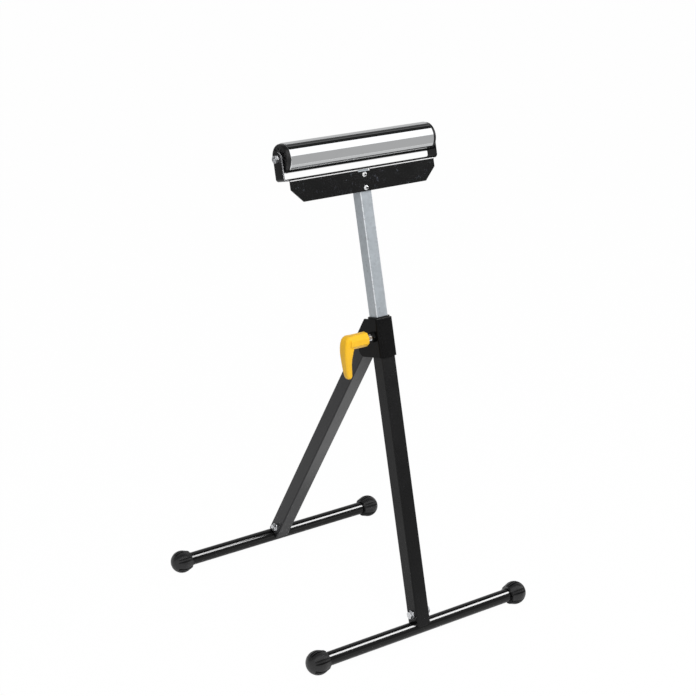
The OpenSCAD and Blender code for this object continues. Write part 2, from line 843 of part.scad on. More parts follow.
outer_post();
front_foot_bar();
front_foot_bolt();
front_foot_washers();
front_foot_nut();
front_cap_left();
front_cap_right();
hinge_bracket();
hinge_bolt();
hinge_washers();
hinge_nut();
clamp_nut();
rear_leg();
rear_foot_bar();
rear_foot_bolt();
rear_foot_washers();
rear_foot_nut();
rear_cap_left();
rear_cap_right();
mast();
head_bracket();
head_screws();
head_nuts();
roller_axle();
axle_nuts();
axle_spacers();
bearing_inner_rings();
roller_tube();
roller_plug_left();
roller_plug_right();
bearing_outer_rings();
bearing_balls();
bearing_cages();
bearing_shields();
clamp_pad();
clamp_screw();
clamp_handle();
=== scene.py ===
"""Looks of a folding roller stand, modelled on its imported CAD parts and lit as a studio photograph."""

import logging
import math
from collections.abc import Callable
from dataclasses import dataclass, field
from enum import Enum
from typing import Any

import bpy
from mathutils import Matrix, Vector


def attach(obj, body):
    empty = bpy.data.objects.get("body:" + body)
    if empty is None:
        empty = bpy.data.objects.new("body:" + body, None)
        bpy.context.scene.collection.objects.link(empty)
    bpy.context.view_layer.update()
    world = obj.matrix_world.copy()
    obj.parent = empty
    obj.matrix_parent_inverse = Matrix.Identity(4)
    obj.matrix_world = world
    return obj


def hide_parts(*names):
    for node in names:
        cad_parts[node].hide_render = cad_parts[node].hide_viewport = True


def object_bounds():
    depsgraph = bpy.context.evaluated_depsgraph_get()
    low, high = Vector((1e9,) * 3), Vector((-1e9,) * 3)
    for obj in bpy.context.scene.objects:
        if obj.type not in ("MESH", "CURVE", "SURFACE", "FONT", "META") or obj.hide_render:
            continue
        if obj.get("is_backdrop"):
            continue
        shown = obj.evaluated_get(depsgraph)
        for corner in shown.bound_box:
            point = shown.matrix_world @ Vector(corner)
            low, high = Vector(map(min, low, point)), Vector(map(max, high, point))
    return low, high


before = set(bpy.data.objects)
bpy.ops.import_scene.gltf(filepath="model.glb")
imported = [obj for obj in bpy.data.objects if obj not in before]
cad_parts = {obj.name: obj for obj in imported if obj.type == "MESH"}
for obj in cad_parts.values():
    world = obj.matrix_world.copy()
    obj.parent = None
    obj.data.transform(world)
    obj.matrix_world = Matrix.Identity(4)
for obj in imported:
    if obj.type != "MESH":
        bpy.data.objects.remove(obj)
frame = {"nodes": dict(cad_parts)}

MM = 0.001
RIGHT_ANGLE = math.pi / 2
WHOLE_TURN = 2 * math.pi
OTHER_SIDE = Matrix.Rotation(math.pi, 4, "Z")
POST_LEAN = math.radians(13.4)
LEG_LEAN = math.radians(31.843)
HALF_SPREAD = 245 * MM
# Play between a thread or an axle and its bore, and how far a drill goes past what it drills.
FIT = 0.06 * MM
OVERRUN = 2 * MM
# Lengths closer than NEAR are the same to a test, and vertices closer than TINY are welded.
NEAR = 0.05 * MM
TINY = 1e-6
# Share of an axis above which a direction runs along it, and the angle in degrees of a sharp edge.
ALONG = 0.9
SHARP = 32.0

log = logging.getLogger("roller_stand")

Place = tuple[float, float, float]
Profile = list[tuple[float, float]]
Colour = tuple[float, float, float]
Test = Callable[[Vector, Vector], bool]

UNTURNED: Place = (0.0, 0.0, 0.0)
WHITE: Colour = (1.0, 1.0, 1.0)


class Axis(Enum):
    """A direction that a primitive stands along."""

    X = (1.0, 0.0, 0.0)
    Y = (0.0, 1.0, 0.0)
    Z = (0.0, 0.0, 1.0)


class Pick(Enum):
    """What an edit acts on."""

    VERTICES = 0
    EDGES = 1
    FACES = 2


class Side(Enum):
    """A side of the stand, seen from its front."""

    LEFT = -1
    RIGHT = 1


def everything(at: Vector, direction: Vector) -> bool:
    """A test that every vertex, edge and face passes."""
    return True


def close(value: float, other: float) -> bool:
    """Whether two lengths are the same."""
    return abs(value - other) < NEAR


def along(share: float) -> bool:
    """Whether a direction runs along an axis, by its share in it."""
    return abs(share) > ALONG


def deselect_all() -> None:
    """Leaves nothing selected."""
    bpy.ops.object.select_all(action="DESELECT")


class Workpiece:
    """One mesh that is being modelled, with the operators used on it."""

    def __init__(self, name: str) -> None:
        """Takes the object that the last operator added.

        Args:
            name: Name of the piece.
        """
        self.obj: bpy.types.Object = bpy.context.active_object
        self.obj.name = name
        self.obj.data.name = name
        bpy.ops.object.transform_apply(location=True, rotation=True, scale=True)

    @classmethod
    def plane(cls, name: str, width: float, depth: float, centre: Place) -> "Workpiece":
        """Adds a flat rectangle that faces up.

        Args:
            name: Name of the piece.
            width: Size along X.
            depth: Size along Y.
            centre: Its middle.

        Returns:
            The new workpiece.
        """
        deselect_all()
        bpy.ops.mesh.primitive_plane_add(size=1, location=centre)
        bpy.context.active_object.scale = (width, depth, 1)
        return cls(name)

    @classmethod
    def block(cls, name: str, size: Place, centre: Place) -> "Workpiece":
        """Adds a box.

        Args:
            name: Name of the piece.
            size: Its three sizes.
            centre: Its middle.

        Returns:
            The new workpiece.
        """
        deselect_all()
        bpy.ops.mesh.primitive_cube_add(size=1, location=centre)
        bpy.context.active_object.scale = size
        return cls(name)

    @classmethod
    def rod(
        cls, name: str, radius: float, start: Place, length: float, axis: Axis, sides: int = 96
    ) -> "Workpiece":
        """Adds a round or many-sided bar.

        Args:
            name: Name of the piece.
            radius: Radius to its corners.
            start: Middle of its first end.
            length: Length along the axis.
            axis: The way it runs.
            sides: Number of its sides.

        Returns:
            The new workpiece.
        """
        way = Vector(axis.value)
        deselect_all()
        bpy.ops.mesh.primitive_cylinder_add(
            vertices=sides,
            radius=radius,
            depth=length,
            location=Vector(start) + way * (length / 2),
            rotation=Vector(Axis.Z.value).rotation_difference(way).to_euler(),
        )
        return cls(name)

    @classmethod
    def drawn(cls, name: str, outline: list[Place]) -> "Workpiece":
        """Draws an open line of edges by extruding a vertex from corner to corner.

        Args:
            name: Name of the piece.
            outline: The corners in order.

        Returns:
            The new workpiece.
        """
        shape = cls.plane(name, MM, MM, outline[0])
        shape.pick(Pick.VERTICES)
        shape.edit(bpy.ops.mesh.merge, type="CENTER")
        shape.pick(Pick.VERTICES)
        bpy.ops.object.mode_set(mode="EDIT")
        for before, after in zip(outline, outline[1:]):
            step = Vector(after) - Vector(before)
            bpy.ops.mesh.extrude_vertices_move(TRANSFORM_OT_translate={"value": step})
        bpy.ops.object.mode_set(mode="OBJECT")
        return shape

    @classmethod
    def turned(cls, name: str, profile: list[tuple[float, float]], steps: int = 96) -> "Workpiece":
        """Spins a profile about the X axis, as on a lathe.

        Args:
            name: Name of the piece.
            profile: Corners as (place along X, radius), in order.
            steps: Number of steps round.

        Returns:
            The new workpiece.
        """
        shape = cls.drawn(name, [(x, 0.0, r) for x, r in profile])
        shape.pick(Pick.EDGES)
        shape.edit(bpy.ops.mesh.spin, steps=steps, angle=WHOLE_TURN, center=(0, 0, 0), axis=Axis.X.value)
        shape.weld()
        return shape

    def activate(self) -> None:
        """Makes this the only selected and the active object."""
        deselect_all()
        self.obj.select_set(True)
        bpy.context.view_layer.objects.active = self.obj

    def pick(self, kind: Pick, test: Test = everything) -> None:
        """Selects what passes a test.

        Args:
            kind: Whether vertices, edges or faces are picked.
            test: Gets the middle, and the normal or the edge's direction.
        """
        mesh = self.obj.data
        bpy.context.tool_settings.mesh_select_mode = tuple(kind is k for k in Pick)
        for group in (mesh.vertices, mesh.edges, mesh.polygons):
            group.foreach_set("select", [False] * len(group))
        if kind is Pick.VERTICES:
            parts = [(v, v.co, v.normal) for v in mesh.vertices]
        elif kind is Pick.FACES:
            parts = [(p, p.center, p.normal) for p in mesh.polygons]
        else:
            ends = [(e, mesh.vertices[e.vertices[0]].co, mesh.vertices[e.vertices[1]].co) for e in mesh.edges]
            parts = [(e, (a + b) / 2, (b - a).normalized()) for e, a, b in ends]
        for part, middle, direction in parts:
            part.select = test(middle, direction)

    def edit(self, operator: Callable[..., set[str]], **settings: Any) -> None:
        """Runs one edit-mode operator on what is picked.

        Args:
            operator: The operator.
            settings: Its settings.
        """
        self.activate()
        bpy.ops.object.mode_set(mode="EDIT")
        operator(**settings)
        bpy.ops.object.mode_set(mode="OBJECT")

    def pull(self, step: Place) -> None:
        """Extrudes what is picked by a step."""
        self.edit(bpy.ops.mesh.extrude_region_move, TRANSFORM_OT_translate={"value": step})

    def trim(self, test: Test, width: float, steps: int) -> None:
        """Bevels the corners that pass a test, in one step for a straight cut."""
        self.pick(Pick.VERTICES, test)
        self.edit(bpy.ops.mesh.bevel, offset=width, segments=steps, affect="VERTICES")

    def stretch(self, factors: Place, centre: Place) -> None:
        """Scales what is picked about a point."""
        self.edit(bpy.ops.transform.resize, value=factors, center_override=centre)

    def fold(self, centre: Place, axis: Axis, angle: float, steps: int = 8) -> None:
        """Spins the picked edges into a bend about an axis, by the right-hand rule and in radians."""
        self.edit(bpy.ops.mesh.spin, steps=steps, angle=-angle, center=centre, axis=axis.value)

    def slice(self, point: Place, normal: Place, **settings: bool) -> None:
        """Bisects what is picked by a plane. Settings say whether a side is cleared and the cut filled."""
        self.edit(bpy.ops.mesh.bisect, plane_co=point, plane_no=normal, threshold=TINY, **settings)

    def weld(self) -> None:
        """Merges doubled vertices and turns the faces outwards."""
        self.pick(Pick.VERTICES)
        self.edit(bpy.ops.mesh.remove_doubles, threshold=TINY)
        self.pick(Pick.FACES)
        self.edit(bpy.ops.mesh.normals_make_consistent, inside=False)

    def modify(self, kind: str, **settings: Any) -> None:
        """Adds a modifier and applies it.

        Args:
            kind: The modifier's type.
            settings: Its settings.
        """
        self.activate()
        modifier = self.obj.modifiers.new(kind, kind)
        for key, value in settings.items():
            setattr(modifier, key, value)
        bpy.ops.object.modifier_apply(modifier=modifier.name)

    def combine(self, tool: "Workpiece", operation: str) -> None:
        """Cuts by, adds or keeps what is shared with another solid, which is used up."""
        self.modify("BOOLEAN", object=tool.obj, operation=operation, solver="EXACT")
        bpy.data.objects.remove(tool.obj)

    def cut(self, *tools: "Workpiece") -> None:
        """Cuts each tool out of this piece."""
        for tool in tools:
            self.combine(tool, "DIFFERENCE")

    def drill(self, radius: float, start: Place, length: float, axis: Axis) -> None:
        """Drills a round hole along an axis, from the middle of the drill's first end."""
        self.cut(Workpiece.rod("drill", radius, start, length, axis, sides=48))

    def wall(self, thickness: float) -> None:
        """Gives an open skin its wall, on the inner side for a positive thickness."""
        side = -math.copysign(1, thickness)
        self.modify("SOLIDIFY", thickness=abs(thickness), offset=side, use_even_offset=True)

    def soften(self, width: float, segments: int = 2, angle: float = SHARP) -> None:
        """Rounds the edges that are sharper than an angle in degrees."""
        limit = math.radians(angle)
        self.modify("BEVEL", width=width, segments=segments, limit_method="ANGLE", angle_limit=limit)

    def absorb(self, *others: "Workpiece") -> None:
        """Joins other meshes into this one.

        Args:
            others: The other pieces, which are used up.
        """
        self.activate()
        for other in others:
            other.obj.select_set(True)
        bpy.ops.object.join()

    def again(self, name: str) -> "Workpiece":
        """Copies the piece with a mesh of its own.

        Args:
            name: Name of the copy.

        Returns:
            The copy.
        """
        self.activate()
        bpy.ops.object.duplicate(linked=False)
        return Workpiece(name)

    def pair(self) -> "Workpiece":
        """Adds a copy turned to the stand's other side and returns the piece."""
        self.absorb(self.again("twin").place(OTHER_SIDE))
        return self

    def place(self, matrix: Matrix) -> "Workpiece":
        """Moves the mesh.

        Args:
            matrix: How it is moved.

        Returns:
            The piece itself.
        """
        self.obj.data.transform(matrix)
        self.obj.data.update()
        return self

    def coat(self, finish: "Finish", test: Test) -> None:
        """Gives the faces that pass a test a second finish. Call it after deliver.

        Args:
            finish: The finish.
            test: Gets a face's middle and normal.
        """
        self.obj.data.materials.append(finish.material())
        last = len(self.obj.data.materials) - 1
        for face in self.obj.data.polygons:
            if test(face.center, face.normal):
                face.material_index = last

    def deliver(self, body: str, node: str, finish: "Finish", angle: float = SHARP) -> None:
        """Shades and dresses the piece, hangs it on its body and hides the CAD part.

        Args:
            body: The body that it rides on.
            node: The CAD node that it stands for.
            finish: Its finish.
            angle: Edges sharper than this, in degrees, stay sharp.
        """
        self.activate()
        bpy.ops.object.shade_smooth_by_angle(angle=math.radians(angle))
        self.modify("WEIGHTED_NORMAL", keep_sharp=True)
        self.obj.data.materials.clear()
        self.obj.data.materials.append(finish.material())
        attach(self.obj, body)
        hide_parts(node)
        log.info("%s: %d faces on %s", self.obj.name, len(self.obj.data.polygons), body)


class Value:
    """A number in a node tree. Its arithmetic adds Math nodes."""

    def __init__(self, tree: "Tree", socket: bpy.types.NodeSocket) -> None:
        """Wraps the socket of a tree that gives the number."""
        self.tree = tree
        self.socket = socket

    def math(self, operation: str, first: Any, second: Any) -> "Value":
        """The result of a Math node on two numbers or values."""
        node = self.tree.node("ShaderNodeMath", {"operation": operation}, {0: first, 1: second})
        return Value(self.tree, node.outputs[0])

    def __add__(self, other: Any) -> "Value":
        """This plus another."""
        return self.math("ADD", self, other)

    def __radd__(self, other: Any) -> "Value":
        """Another plus this."""
        return self.math("ADD", other, self)

    def __mul__(self, other: Any) -> "Value":
        """This times another."""
        return self.math("MULTIPLY", self, other)

    def __rmul__(self, other: Any) -> "Value":
        """Another times this."""
        return self.math("MULTIPLY", other, self)

    def larger(self, other: Any) -> "Value":
        """The larger of this and another."""
        return self.math("MAXIMUM", self, other)


class Tree:
    """The nodes of a material or of the world."""

    def __init__(self, owner: bpy.types.Material | bpy.types.World, output: str) -> None:
        """Empties the owner's tree and adds its output.

        Args:
            owner: The material or the world.
            output: Type of its output node.
        """
        self.owner = owner
        owner.use_nodes = True
        owner.node_tree.nodes.clear()
        self.output = owner.node_tree.nodes.new(output)

    def node(self, kind: str, settings: dict[str, Any], inputs: dict[str | int, Any]) -> bpy.types.Node:
        """Adds a node.

        Args:
            kind: Its type.
            settings: Its own settings.
            inputs: Numbers, colours, sockets or values for its inputs.

        Returns:
            The node.
        """
        node = self.owner.node_tree.nodes.new(kind)
        for key, value in settings.items():
            setattr(node, key, value)
        for key, value in inputs.items():
            self.feed(node.inputs[key], value)
        return node

    def feed(self, socket: bpy.types.NodeSocket, value: Any) -> None:
        """Links or sets one input.

        Args:
            socket: The input.
            value: A number, a colour, a socket or a value.
        """
        if isinstance(value, Value):
            value = value.socket
        if isinstance(value, bpy.types.NodeSocket):
            self.owner.node_tree.links.new(value, socket)
        else:
            socket.default_value = value

    def rays(self, kind: str) -> Value:
        """Whether a ray is of a kind, such as Camera or Glossy."""
        return Value(self, self.node("ShaderNodeLightPath", {}, {}).outputs[f"Is {kind} Ray"])

    def show(self, node: bpy.types.Node) -> None:
        """Makes a node the surface."""
        self.feed(self.output.inputs["Surface"], node.outputs[0])


class Shader(Tree):
    """A material's tree with one Principled shader."""

    def __init__(self, name: str) -> None:
        """Makes an empty material.

        Args:
            name: Name of the material.
        """
        super().__init__(bpy.data.materials.new(name), "ShaderNodeOutputMaterial")
        self.surface = self.node("ShaderNodeBsdfPrincipled", {}, {})
        self.show(self.surface)
        self.coordinates = self.node("ShaderNodeTexCoord", {}, {}).outputs["Object"]

    def lines(self, scale: Place, turn: Place, detail: float = 2.0, roughness: float = 0.5) -> Value:
        """Noise drawn out into lines.

        Args:
            scale: How many times finer it is along each axis than a metre.
            turn: Turn of those axes, in radians.
            detail: Number of finer layers.
            roughness: How strong those are.

        Returns:
            The noise.
        """
        inputs = {"Vector": self.coordinates, "Rotation": turn}
        turned = self.node("ShaderNodeMapping", {"vector_type": "TEXTURE"}, inputs).outputs[0]
        where = self.node("ShaderNodeMapping", {}, {"Vector": turned, "Scale": scale}).outputs[0]
        return self.noise(1.0, detail, roughness, where)

    def noise(self, cell: float, detail: float = 3.0, roughness: float = 0.5, vector: Any = None) -> Value:
        """Cloudy noise between 0 and 1.

        Args:
            cell: Size of its clouds in metres.
            detail: Number of finer layers.
            roughness: How strong those are.
            vector: Coordinates, if not the object's own.

        Returns:
            The noise.
        """
        where = vector if vector is not None else self.coordinates
        inputs = {"Vector": where, "Scale": 1 / cell, "Detail": detail, "Roughness": roughness}
        return Value(self, self.node("ShaderNodeTexNoise", {}, inputs).outputs[0])

    def crystals(self, cell: float) -> Value:
        """A number between 0 and 1 for each cell of that size in metres."""
        cells = self.node("ShaderNodeTexVoronoi", {}, {"Vector": self.coordinates, "Scale": 1 / cell})
        return Value(self, self.node("ShaderNodeSeparateColor", {}, {0: cells.outputs["Color"]}).outputs[0])

    def spread(self, value: Value, low: float, high: float) -> Value:
        """Maps a range of a value onto 0 to 1, held at its ends."""
        inputs = {0: value, 1: low, 2: high}
        return Value(self, self.node("ShaderNodeMapRange", {"clamp": True}, inputs).outputs[0])

    def blend(self, factor: Any, first: Any, second: Any) -> bpy.types.NodeSocket:
        """Mixes two colours by the share of the second."""
        inputs = {"Factor": factor, 6: first, 7: second}
        return self.node("ShaderNodeMix", {"data_type": "RGBA"}, inputs).outputs[2]

    def bump(self, height: Value, depth: float, strength: float = 1.0) -> None:
        """Bumps the surface by a height between 0 and 1 whose 1 stands for a depth in metres."""
        inputs = {"Height": height, "Distance": depth, "Strength": strength}
        self.put("Normal", self.node("ShaderNodeBump", {}, inputs).outputs[0])

    def put(self, socket: str, value: Any) -> None:
        """Sets or links one input of the Principled shader."""
        self.feed(self.surface.inputs[socket], value)


def shade(colour: Colour, factor: float = 1.0) -> tuple[float, float, float, float]:
    """A colour with its alpha, made lighter or darker by a factor."""
    return (colour[0] * factor, colour[1] * factor, colour[2] * factor, 1.0)


@dataclass(frozen=True)
class Finish:
    """A surface finish and the name of its slot. Each kind fills in its own shader."""

    name: str
    slot: str
    colour: Colour
    roughness: float = 0.35
    tones: tuple[float, float] = (0.85, 1.15)

    def material(self) -> bpy.types.Material:
        """The finish's material, made the first time it is asked for.

        Returns:
            The material.
        """
        found = bpy.data.materials.get(self.name)
        if found is None:
            shader = Shader(self.name)
            self.fill(shader)
            found = shader.owner
        return found

    def toned(self, shader: Shader, factor: Value) -> bpy.types.NodeSocket:
        """The finish's colour, mixed from its two tones."""
        return shader.blend(factor, *(shade(self.colour, tone) for tone in self.tones))

    def fill(self, shader: Shader) -> None:
        """Fills in a shader, which each kind does in its own way."""
        raise NotImplementedError


@dataclass(frozen=True)
class Paint(Finish):
    """Paint on steel, with a fine orange peel, faint dust and handling marks."""

    specular: float = 0.3
    swing: float = 0.12
    peel: float = 1.2 * MM
    peel_depth: float = 0.02 * MM
    dust: float = 0.25
    speck: float = 3 * MM
    patch: float = 22 * MM
    mark_swing: float = 0.3
    mark_rise: float = 0.5
    dust_colour: Colour = (0.16, 0.16, 0.165)

    def fill(self, shader: Shader) -> None:
        """Fills in a shader.

        Args:
            shader: The shader.
        """
        clouds = shader.noise(cell=45 * MM, detail=4.0, roughness=0.6)
        specks = shader.spread(shader.noise(self.speck, roughness=0.6), low=0.58, high=0.72)
        patches = shader.spread(shader.noise(self.patch), low=0.46, high=0.66)
        marks = specks * patches * self.dust
        shader.put("Base Color", shader.blend(marks, self.toned(shader, clouds), shade(self.dust_colour)))
        shader.put("Specular IOR Level", self.specular)
        least = self.roughness - self.swing / 2
        shader.put("Roughness", least + clouds * self.swing + marks * self.mark_swing)
        shader.bump(shader.noise(self.peel, detail=2.0) + marks * self.mark_rise, self.peel_depth)


@dataclass(frozen=True)
class Metal(Finish):
    """Bare or plated metal with cloudy sheen and fine scratches along X."""

    tones: tuple[float, float] = (0.88, 1.12)
    cloud: float = 12 * MM
    swing: float = 0.16
    scratch: float = 0.08
    grain: Place = (60.0, 900.0, 900.0)
    grain_depth: float = 0.004 * MM

    def fill(self, shader: Shader) -> None:
        """Fills in a shader.

        Args:
            shader: The shader.
        """
        clouds = shader.noise(self.cloud, detail=4.0, roughness=0.6)
        lines = shader.lines(self.grain, UNTURNED)
        least = self.roughness - (self.swing + self.scratch) / 2
        shader.put("Base Color", self.toned(shader, clouds))
        shader.put("Metallic", 1.0)
        shader.put("Roughness", clouds * self.swing + lines * self.scratch + least)
        shader.bump(lines, self.grain_depth)


@dataclass(frozen=True)
class Galvanised(Finish):
    """Zinc-coated steel: small crystals, cloudy sheen and rubbing marks along the leaning tube."""

    tones: tuple[float, float] = (0.82, 1.16)
    metallic: float = 0.6
    crystal: float = 5 * MM
    crystal_share: float = 0.35
    crystal_swing: float = 0.1
    cloud: float = 30 * MM
    cloud_share: float = 0.4
    rub: Place = (700.0, 700.0, 25.0)
    rub_share: float = 0.25
    rub_swing: float = 0.14
    rub_depth: float = 0.01 * MM

    def fill(self, shader: Shader) -> None:
        """Fills in a shader.

        Args:
            shader: The shader.
        """
        tint = shader.crystals(self.crystal)
        clouds = shader.noise(self.cloud, detail=4.0, roughness=0.6)
        rubs = shader.lines(self.rub, (-POST_LEAN, 0.0, 0.0), detail=3.0, roughness=0.6)
        tone = tint * self.crystal_share + clouds * self.cloud_share + rubs * self.rub_share
        least = self.roughness - (self.crystal_swing + self.rub_swing) / 2
        shader.put("Base Color", self.toned(shader, tone))
        shader.put("Metallic", self.metallic)
        shader.put("Roughness", tint * self.crystal_swing + rubs * self.rub_swing + least)
        shader.bump(rubs, self.rub_depth)


@dataclass(frozen=True)
class Chrome(Finish):
    """Polished chrome with the faintest polish lines round the roller, and a few fingermarks."""

    tones: tuple[float, float] = (1.0, 0.94)
    grain: Place = (1400.0, 12.0, 12.0)
    smudge_swing: float = 0.05
    line_swing: float = 0.01
    line_depth: float = 0.0004 * MM

    def fill(self, shader: Shader) -> None:
        """Fills in a shader.

        Args:
            shader: The shader.
        """
        smudges = shader.spread(shader.noise(cell=35 * MM, detail=5.0, roughness=0.65), low=0.52, high=0.8)
        lines = shader.lines(self.grain, UNTURNED)
        least = self.roughness - self.line_swing
        shader.put("Base Color", self.toned(shader, smudges))
        shader.put("Metallic", 1.0)
        shader.put("Roughness", smudges * self.smudge_swing + lines * self.line_swing + least)
        shader.bump(lines, self.line_depth, strength=0.5)


@dataclass(frozen=True)
class Moulded(Finish):
    """Moulded plastic or rubber with a fine grain and slight scuffs."""

    tones: tuple[float, float] = (0.92, 1.08)
    swing: float = 0.1
    grain: float = 0.7 * MM
    grain_depth: float = 0.008 * MM
    scuff: Colour = (0.12, 0.12, 0.12)
    scuff_share: float = 0.12
    specular: float = 0.5

    def fill(self, shader: Shader) -> None:
        """Fills in a shader.

        Args:
            shader: The shader.
        """
        clouds = shader.noise(cell=14 * MM, detail=4.0, roughness=0.6)
        worn = shader.noise(cell=6 * MM, detail=6.0, roughness=0.7)
        scuffs = shader.spread(worn, low=0.58, high=0.74) * self.scuff_share
        shader.put("Base Color", shader.blend(scuffs, self.toned(shader, clouds), shade(self.scuff)))
        shader.put("Specular IOR Level", self.specular)
        shader.put("Roughness", clouds * self.swing + scuffs + (self.roughness - self.swing / 2))
        shader.bump(shader.noise(self.grain, detail=2.0), self.grain_depth)


POWDER_BLACK = Paint(
    "powder_black", "black_paint", (0.004, 0.004, 0.0042), roughness=0.28, specular=0.19, dust=0.05
)
PLATE_BLACK = Paint(
    "plate_black", "black_paint", (0.003, 0.003, 0.0031), roughness=0.26, specular=0.09, dust=0.08
)
POWDER_GREY = Paint(
    "powder_grey", "grey_paint", (0.012, 0.012, 0.0135), roughness=0.33, specular=0.32, dust=0.1
)
SHEET_BLACK = Paint(
    "sheet_black", "black_paint", (0.002, 0.002, 0.0021), roughness=0.13, specular=0.26,
    peel_depth=0.006 * MM, dust=0.4, speck=7 * MM, dust_colour=(0.09, 0.105, 0.14),
)
# A matt, barely reflecting copy of the sheet's paint: painted shade on the web's top under the roller and in
# the screws' sockets.
SHEET_SHADE = Paint(
    "sheet_black_matt", "black_paint", (0.003, 0.003, 0.003), roughness=0.6, specular=0.04, dust=0.08
)
# Light grey copy of the sheet's paint for the left ear's front edge: a painted highlight, the light line
# along that edge.
SHEET_EDGE_HIGHLIGHT = Paint(
    "sheet_cut_edge", "black_paint", (0.11, 0.11, 0.115), roughness=0.6, specular=0.1, dust=0.08
)
GLOSS_BLACK = Paint(
    "gloss_black_paint", "gloss_black", (0.002, 0.002, 0.002), roughness=0.13, specular=0.28,
    peel_depth=0.005 * MM, dust=0.1,
)
MAST_ZINC = Galvanised("mast_galvanised", "galvanised", (0.49, 0.53, 0.565), roughness=0.34)
# A much lighter copy of the mast's zinc for its rounded corners: a painted highlight along the corner edges.
MAST_CORNER_HIGHLIGHT = Galvanised("mast_galvanised_corner", "galvanised", (0.84, 0.87, 0.9), roughness=0.3)
ROLLER_CHROME = Chrome("roller_chrome", "chrome", (0.8, 0.81, 0.82), roughness=0.035)
BOLT_ZINC = Metal("bolt_zinc", "zinc", (0.72, 0.73, 0.75), roughness=0.28)
# Zinc for the head screws, lighter than the bolts' zinc: partly the plating, partly a painted highlight on
# the heads.
SCREW_ZINC_HIGHLIGHT = Metal("screw_zinc", "zinc", (0.9, 0.91, 0.92), roughness=0.4)
AXLE_STEEL = Metal("axle_steel", "zinc", (0.55, 0.56, 0.58), roughness=0.3)
BEARING_STEEL = Metal(
    "bearing_polished_steel", "bearing_steel", (0.62, 0.63, 0.65), roughness=0.2, cloud=4 * MM
)
CAP_RUBBER = Moulded(
    "cap_rubber_black", "cap_rubber", (0.009, 0.009, 0.0096), roughness=0.36,
    grain_depth=0.004 * MM, scuff_share=0.02,
)
PLUG_BLACK = Moulded(
    "plug_moulded_black", "moulded_black", (0.008, 0.008, 0.0085), roughness=0.32,
    specular=0.4, scuff_share=0.05,
)
HANDLE_YELLOW = Moulded(
    "handle_yellow", "yellow_plastic", (0.84, 0.475, 0.019), roughness=0.36,
    specular=0.24, scuff=(0.72, 0.39, 0.03),
)


def dress(node: str, finish: Finish) -> None:
    """Gives a piece kept from the CAD model its finish.

    Args:
        node: Its node.
        finish: Its finish.
    """
    carried = frame["nodes"][node]
    carried.data.materials.clear()
    carried.data.materials.append(finish.material())
    log.info("%s: CAD node dressed", node)


def arc(centre: tuple[float, float], radius: float, start: float, end: float, steps: int) -> Profile:
    """Corners along an arc of a profile, from one angle in degrees to another, both included."""
    angles = [math.radians(start + (end - start) * i / steps) for i in range(steps + 1)]
    return [(centre[0] + radius * math.cos(a), centre[1] + radius * math.sin(a)) for a in angles]


def corner_radius(flats: float, sides: int) -> float:
    """Radius to the corners of a bar with that many sides and that width across its flats."""
    return flats / 2 / math.cos(math.pi / sides)


def square_tube(name: str, width: float, wall: float, corner: float, low: float, high: float) -> Workpiece:
    """A square tube that stands along Z, its corners rounded.

    Args:
        name: Name of the piece.
        width: Outer width.
        wall: Wall thickness.
        corner: Radius of its outer corners.
        low: Lower end.
        high: Upper end.

    Returns:
        The tube.
    """
    shape = Workpiece.plane(name, width, width, (0, 0, low))
    shape.trim(everything, corner, steps=6)
    shape.pick(Pick.FACES)
    shape.pull((0, 0, high - low))
    shape.weld()
    shape.pick(Pick.FACES, lambda at, normal: along(normal.z))
    shape.edit(bpy.ops.mesh.delete, type="ONLY_FACE")
    shape.wall(wall)
    return shape


